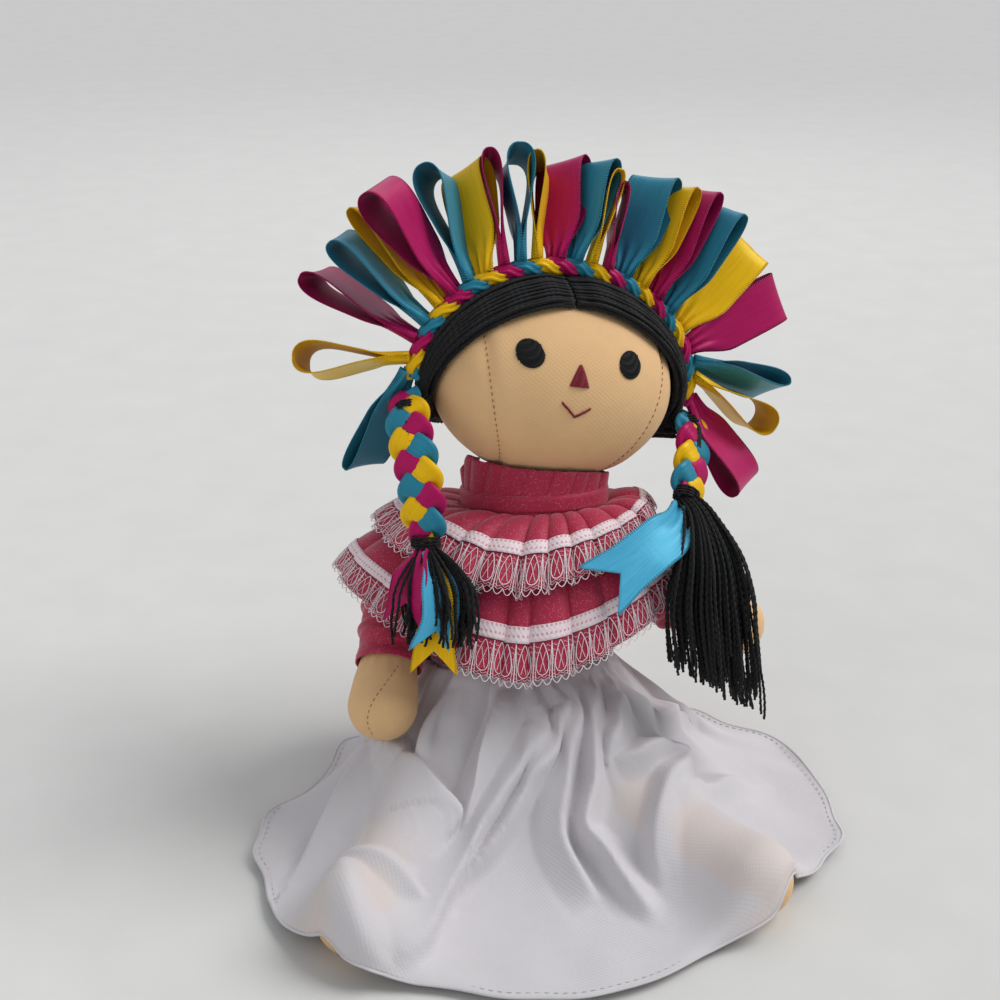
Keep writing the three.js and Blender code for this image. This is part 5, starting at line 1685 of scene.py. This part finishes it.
# Large folds of the skirt: crests as x, y and height above the fallen cloth in millimetres, then how
# wide they are on the doll's left and right
FOLDS = (
    (((-44.6, -3.7, 1), (-49.9, -11.9, 5.8), (-53.5, -20.4, 7.5), (-59.9, -30.6, 5.8),
      (-68.5, -46.1, 1)), 22, 4),
    (((-44.3, -4.5, 1.7), (-33.3, -20.6, 6.3), (-25.4, -37.3, 7.5), (-22.8, -42, 8.1), (-27.1, -50.1, 4.6),
      (-29.7, -60, 1.7)), 3.5, 22),
    (((-53.6, -45.3, 1), (-50, -75.6, 4.6), (-45, -82.5, 4.6), (-40.7, -85.5, 1)), 7, 9),
    (((-52.4, -54.2, 2.3), (-42.9, -60.3, 4.6), (-34, -67, 4.6), (-28.3, -65.5, 2.3)), 6, 6),
    (((-20, -9.3, 2.7), (-24.5, -14.7, 8.1), (-28.4, -22.7, 8), (-30, -29.6, 3.4),
      (-30.7, -34.1, 0.5)), 14, 3.5),
    (((-6.8, -15.5, 2.7), (-7.4, -20, 6.8), (-13.2, -28.3, 9.5), (-19.3, -38.9, 8.1), (-21.7, -46.3, 4.1),
      (-23.2, -49.7, 0.5)), 12, 3.5),
    (((2.7, -17.2, 2), (4.1, -25.1, 6.8), (-7.8, -37.2, 10.8), (-19.3, -50.2, 10.8), (-27.7, -64.7, 8),
      (-33.2, -78.1, 4.6), (-39.7, -85.8, 0.5)), 4, 9),
    (((9.6, -16.4, 2.7), (11, -20.4, 6.8), (1.4, -34.1, 9.5), (-10.5, -47.5, 8.1), (-19.6, -55.4, 5.4),
      (-24.9, -62.7, 0.5)), 3.5, 7),
    (((14.1, -15.3, 3.4), (14.4, -21.8, 6.8), (10, -34.2, 8.1), (8, -46.4, 6.8), (13.3, -58.2, 5.4),
      (17.5, -63.9, 0.5)), 3, 8),
    (((19.9, -13.6, 3.4), (18.8, -22, 6.1), (18.6, -32.9, 6.8), (14.6, -43.8, 8.1), (20.3, -51.3, 8.1),
      (27.6, -63, 5.4), (32.7, -70, 0.5)), 6, 4),
    (((26.1, -10.4, 3.4), (26.7, -13.2, 5.4), (24.7, -22.3, 6.8), (23.1, -28.6, 4.1)), 8, 3.5),
    (((23, -29.1, 2.7), (33, -27.1, 6.8), (43.7, -19, 6.8), (44.4, -24.2, 6.8), (37.7, -43.3, 6.1),
      (36.1, -48.6, 5.4), (35.2, -53.6, 4.1), (35.4, -60.4, 0.5)), 6, 6),
    (((30.4, -7.9, 2), (40.1, -6.5, 5.4), (52.8, 10.9, 3.4)), 5, 5),
    (((39.1, -43, 2.7), (58.7, -19.6, 4.7), (73.2, -9.8, 1)), 6, 6),
)


def hem_reach(turn):
    """The hem's reach by turn, with the corners of the table rounded."""
    at, reach = np.array(HEM_REACH).T
    offsets = np.radians(np.arange(-9, 10, 3))
    around = [np.interp(np.degrees(turn + shift), at, reach, period=360) for shift in offsets]
    return np.mean(around, axis=0) * MM


# Where the waistband starts on the torso and its height, where the skirt starts and how far it stands
# off there
BAND_FOOT = 42.5
BAND_HEIGHT = 6.3
WAIST_HEIGHT = 45.7
WAIST_ROOM = 3.0 * MM


def skirt_points(rows, cols):
    """Rows of points of the gathered skirt, held out over the legs."""
    fall = np.linspace(0, 1, rows)[:, None]
    turn = ring(cols)[None]
    uneven = turn + 0.16 * np.sin(2 * turn + 0.9) + 0.08 * np.sin(5 * turn + 2.1)
    width, depth, _ = torso_section(WAIST_HEIGHT)
    gathers = clothes().gathers
    gather = np.sin(gathers * uneven) + 0.5 * np.sin(round(gathers * 0.58) * uneven + 1.0)
    small = 1.5 * MM * gather * mix(0.35, 1, ramp(0, 0.1, fall)) * (1 - ramp(0.3, 0.9, fall))
    small = small * (1 - 0.7 * ramp(0.3, 0.8, -np.sin(turn)))
    wide, deep = (half + WAIST_ROOM + small for half in (width, depth))
    waist = place(girth(0.0, wide, deep, turn, WAIST_HEIGHT * MM), TORSO)
    fold = np.cos(9 * (uneven - math.radians(228))) + 0.5 * np.cos(14 * uneven + 0.8)
    fold = fold + 0.3 * np.cos(21 * uneven + 2.5)
    reach = hem_reach(turn) + 1.6 * fold * MM * ramp(0, 1, fall)
    x = mix(waist[..., 0], HEM_MIDDLE[0] * MM + reach * np.cos(turn), fall) + small * np.cos(turn)
    y = mix(waist[..., 1], HEM_MIDDLE[1] * MM + reach * np.sin(turn), fall) + small * np.sin(turn)
    hang = mix(2.5 * MM, waist[..., 2], (1 - fall) ** 1.3)
    high = mix(2.5, 6.5, ramp(-0.5, 0.3, np.sin(turn)))
    lift = (1 + fold / 1.4) * high * MM * ramp(0.02, 0.5, fall) * (1 - 0.8 * ramp(0.6, 1, fall))
    z = hang + lift
    cover = leg_cover(x, y) * (1 - 0.28 * ramp(0.9, 1, fall)) + 1.2 * MM
    blend = 6 * MM
    share = np.clip(0.5 + (z - cover) / (2 * blend), 0, 1)
    z = mix(cover, z, share) + blend * share * (1 - share)
    return np.stack((x, y, np.maximum(z, 2 * MM)), axis=-1)


# How the skirt's thin cotton falls, on what and for how many frames
THIN_COTTON = {
    "quality": 8, "mass": 0.1, "air_damping": 2, "tension_stiffness": 20, "compression_stiffness": 20,
    "shear_stiffness": 8, "bending_stiffness": 1.0, "shrink_min": -0.06,
}
UNDER_SKIRT = ("torso", "leg_right_cotton", "leg_left_cotton", "floor")
FALL_FRAMES = 30


def drape(piece, sewn, below, frames):
    """Lets a sheet fall on the pieces below it, held where it is sewn, and keeps the shape it comes to."""
    scene = bpy.context.scene
    for other in below:
        other.modifiers.new("Rest", "COLLISION")
        other.collision.thickness_outer = 0.0008
        other.collision.cloth_friction = 12
    piece.vertex_groups.new(name="Sewn").add(sewn, 1, "REPLACE")
    cloth = piece.modifiers.new("Drape", "CLOTH")
    cloth.settings.vertex_group_mass = "Sewn"
    for name, value in THIN_COTTON.items():
        setattr(cloth.settings, name, value)
    cloth.collision_settings.distance_min = 0.001
    cloth.collision_settings.collision_quality = 3
    cloth.point_cache.frame_start = 1
    cloth.point_cache.frame_end = frames
    for number in range(1, frames + 1):
        scene.frame_set(number)
    bake(piece)
    piece.vertex_groups.clear()
    for other in below:
        other.modifiers.clear()
    scene.frame_set(1)


SKIRT_ROWS = 52
SKIRT_COLS = 208
CALMING = 16


class DOLL_OT_skirt(bpy.types.Operator):
    """Gathers the skirt on its waistband and spreads it over the legs"""

    bl_idname = "doll.skirt"
    bl_label = "Skirt"

    def execute(self, context):
        self.waistband()
        rows, cols = SKIRT_ROWS, SKIRT_COLS
        points = skirt_points(rows, cols)
        piece = add_grid("skirt_cotton", points, skirt_cotton(), around=True)
        below = [bpy.data.objects[name] for name in UNDER_SKIRT]
        drape(piece, [*range(2 * cols), *range((rows - 1) * cols, rows * cols)], below, FALL_FRAMES)
        self.press_gathers(piece, rows, cols)
        fine = piece.modifiers.new("Fine", "SUBSURF")
        fine.levels = fine.render_levels = 1
        bake(piece)
        self.press_folds(piece)
        hem = self.hem_line(piece, rows, cols)
        self.show_legs(piece)
        thicken(piece, clothes().cloth)
        settle(piece, "torso", "white_cotton", "skirt")
        self.hem(hem)
        return {"FINISHED"}

    def press_gathers(self, piece, rows, cols):
        """Calms the fallen cloth and raises the tight gathers below the waistband, less so in front."""
        points = vertex_points(piece).reshape(rows, cols, 3)
        for _ in range(CALMING):
            beside = np.roll(points, 1, axis=1) + np.roll(points, -1, axis=1)
            points[2:-1] = 0.5 * points[2:-1] + 0.125 * (points[1:-2] + points[3:] + beside[2:-1])
        cover = leg_cover(points[..., 0], points[..., 1])
        held = np.where(cover > 11.5 * MM, cover - 0.4 * MM, 0)
        points[2:-1, :, 2] = np.maximum(points[2:-1, :, 2], held[2:-1])
        normals = grid_normals(points)
        normals = normals * np.sign((normals * (points - points.mean(axis=(0, 1)))).sum(axis=2).mean())
        fall, turn = np.linspace(0, 1, rows)[:, None], ring(cols)[None]
        phase = clothes().gathers * (turn + 0.05 * np.sin(3 * turn + 0.6))
        stand = np.cos(phase) * 0.7 * MM * (1 - 0.75 * ramp(0.3, 0.8, -np.sin(turn)))
        stand = stand * ramp(0.01, 0.07, fall) * (1 - ramp(0.15, 0.5, fall))
        piece.data.vertices.foreach_set("co", (points + normals * stand[..., None]).ravel())

    def press_folds(self, piece):
        """Raises the large folds, as tents with straight sides."""
        points = vertex_points(piece)
        normals = np.empty(points.size)
        piece.data.vertex_normals.foreach_get("vector", normals)
        normals = normals.reshape(-1, 3) * np.sign((normals * (points - points.mean(axis=0)).ravel()).sum())
        stand = np.zeros(len(points))
        for crest, left, right in FOLDS:
            line = evenly(route(np.array(crest) * MM, 80), 80)
            gap = points[:, None, :2] - line[:, :2]
            near = np.argmin((gap**2).sum(axis=-1), axis=-1)
            gap = gap[np.arange(len(points)), near]
            way = np.gradient(line[:, :2], axis=0)[near]
            side = way[:, 0] * gap[:, 1] - way[:, 1] * gap[:, 0]
            apart = np.linalg.norm(gap, axis=-1) / np.where(side > 0, left * MM, right * MM)
            rise = np.clip(1.06 - np.sqrt(apart**2 + 0.012), 0, 1)
            stand = np.maximum(stand, line[near, 2] * rise**1.3)
        points = points + normals * stand[:, None]
        piece.data.vertices.foreach_set("co", points.ravel())

    def show_legs(self, piece):
        """Marks where the thin cloth lies close over the legs, so that they show through."""
        x, y, z = vertex_points(piece).T
        close = np.exp(-np.maximum(z - leg_cover(x, y) - 0.6 * MM, 0) / (1.8 * MM))
        piece.data.attributes.new("legs", "FLOAT", "POINT").data.foreach_set("value", close)

    def hem_line(self, piece, rows, cols):
        """The skirt's lower edge, in order, after it has fallen."""
        first = (rows - 1) * cols
        return vertex_points(piece)[first:first + cols]

    def waistband(self):
        turn = ring(120)
        rows = []
        for share in np.linspace(0, 1, 9):
            height = BAND_FOOT + BAND_HEIGHT * share
            width, depth, shift = torso_section(height)
            grow = (0.9 + 0.5 * (1 - (2 * share - 1) ** 4)) * MM
            rows.append(girth(shift, width + grow, depth + grow, turn, height * MM))
        band = wrap("waistband_fold", place(np.array(rows), TORSO), skirt_cotton(), 0.6 * MM, offset=-1)
        settle(band, "torso", "white_cotton", "skirt_waistband")

    def hem(self, line):
        """A narrow rolled hem with its row of stitches."""
        closed = np.vstack((line, line[:1]))
        roll = add_yarn("skirt_hem_roll", [route(closed, 900)], 1.1 * MM, skirt_cotton(), plies=4, twist=0.0)
        inward = unit((closed.mean(axis=0) - closed) * (1, 1, 0))
        inside = closed + inward * 1.6 * MM + np.array((0, 0, 0.35 * MM))
        size = threads()
        stitches = add_stitches(
            "skirt_hem_stitches", [inside], skirt_cotton(), length=1.4 * size.stitch,
            pitch=2.2 * size.stitch, thickness=0.3 * MM)
        settle(join([roll, stitches], "skirt_hem"), "torso", "white_cotton")


# The camera's place and the way its back points, and the floor's half width in metres
CAMERA_AT = Vector((-35, -418.8, 287.1)) * MM
CAMERA_BACK = Vector((-0.0637, -0.9113, 0.4067)).normalized()
FLOOR_HALF = 4.0


class DOLL_OT_stage(bpy.types.Operator):
    """Sets up the pale floor, the soft light and the camera"""

    bl_idname = "doll.stage"
    bl_label = "Stage"

    def execute(self, context):
        scene = context.scene
        stage = scene.doll_stage
        scene.view_settings.view_transform = "Standard"
        self.floor()
        self.world(scene)
        self.sun("key", (0.75, 0.05, 0.85), stage.key)
        self.area("fill", (-0.7, -0.55, 0.5), stage.fill, size=0.9)
        self.area("back", (0.15, 0.75, 0.75), stage.fill, size=0.8)
        camera = bpy.data.cameras.new("camera")
        camera.lens = stage.lens
        camera.sensor_width = 36
        camera.clip_start = 0.01
        viewer = link("camera", camera)
        viewer.location = CAMERA_AT
        viewer.rotation_euler = CAMERA_BACK.to_track_quat("Z", "Y").to_euler()
        scene.camera = viewer
        return {"FINISHED"}

    def floor(self):
        half = FLOOR_HALF
        mesh = bpy.data.meshes.new("floor")
        mesh.from_pydata(
            [(-half, -half, 0), (half, -half, 0), (half, half, 0), (-half, half, 0)], [], [(0, 1, 2, 3)])
        material, tree, shader = new_material("pale floor", colours().floor, roughness=0.9, specular=0.1)
        mottle = put_group(
            tree, mottle_group(), cloth_coordinates(tree, "Object"), {"Scale": 40.0, "Fuzz scale": 900.0})
        patchy = tint(tree, colours().floor, mottle.outputs["Patch"], dark=0.95, light=1.05)
        tree.links.new(patchy, shader.inputs["Base Color"])
        mesh.materials.append(material)
        link("floor", mesh)

    def world(self, scene):
        world = bpy.data.worlds.new("soft room")
        world.use_nodes = True
        background = world.node_tree.nodes["Background"]
        background.inputs["Color"].default_value = (0.9, 0.95, 1.0, 1)
        background.inputs["Strength"].default_value = 0.42
        scene.world = world

    def sun(self, name, towards, strength):
        light = bpy.data.lights.new(name, "SUN")
        light.energy = strength
        light.angle = math.radians(38)
        lamp = link(name, light)
        lamp.rotation_euler = Vector(towards).to_track_quat("Z", "Y").to_euler()

    def area(self, name, place_at, power, size):
        light = bpy.data.lights.new(name, "AREA")
        light.energy = power
        light.size = size
        lamp = link(name, light)
        lamp.location = place_at
        lamp.rotation_euler = (Vector(place_at) - Vector((0, 0, 0.08))).to_track_quat("Z", "Y").to_euler()


class DOLL_PT_panel(bpy.types.Panel):
    """Lists the doll's pieces and sizes"""

    bl_idname = "DOLL_PT_panel"
    bl_label = "Cloth doll"
    bl_space_type = "VIEW_3D"
    bl_region_type = "UI"
    bl_category = "Doll"

    def draw(self, context):
        layout = self.layout
        for operator in OPERATORS:
            layout.operator(operator.bl_idname)
        for name in SETTINGS:
            group = getattr(context.scene, name)
            layout.label(text=group.bl_rna.description)
            for item in group.bl_rna.properties:
                if item.identifier not in {"rna_type", "name"}:
                    layout.prop(group, item.identifier)


OPERATORS = (
    DOLL_OT_stage, DOLL_OT_torso, DOLL_OT_head, DOLL_OT_face, DOLL_OT_hair, DOLL_OT_headband,
    DOLL_OT_crown, DOLL_OT_plaits, DOLL_OT_tassels, DOLL_OT_tails, DOLL_OT_bodice, DOLL_OT_ruffles,
    DOLL_OT_arms, DOLL_OT_legs, DOLL_OT_skirt,
)
SETTINGS = {
    "doll_colours": DollColours,
    "doll_threads": DollThreads,
    "doll_clothes": DollClothes,
    "doll_ribbons": DollRibbons,
    "doll_stage": DollStage,
}


def register():
    for cls in (*SETTINGS.values(), *OPERATORS, DOLL_PT_panel):
        bpy.utils.register_class(cls)
    for name, cls in SETTINGS.items():
        setattr(bpy.types.Scene, name, PointerProperty(type=cls))


def unregister():
    for name in SETTINGS:
        delattr(bpy.types.Scene, name)
    for cls in reversed((*SETTINGS.values(), *OPERATORS, DOLL_PT_panel)):
        bpy.utils.unregister_class(cls)


def main():
    register()
    for operator in OPERATORS:
        area, name = operator.bl_idname.split(".")
        getattr(getattr(bpy.ops, area), name)()


if __name__ == "__main__":
    main()
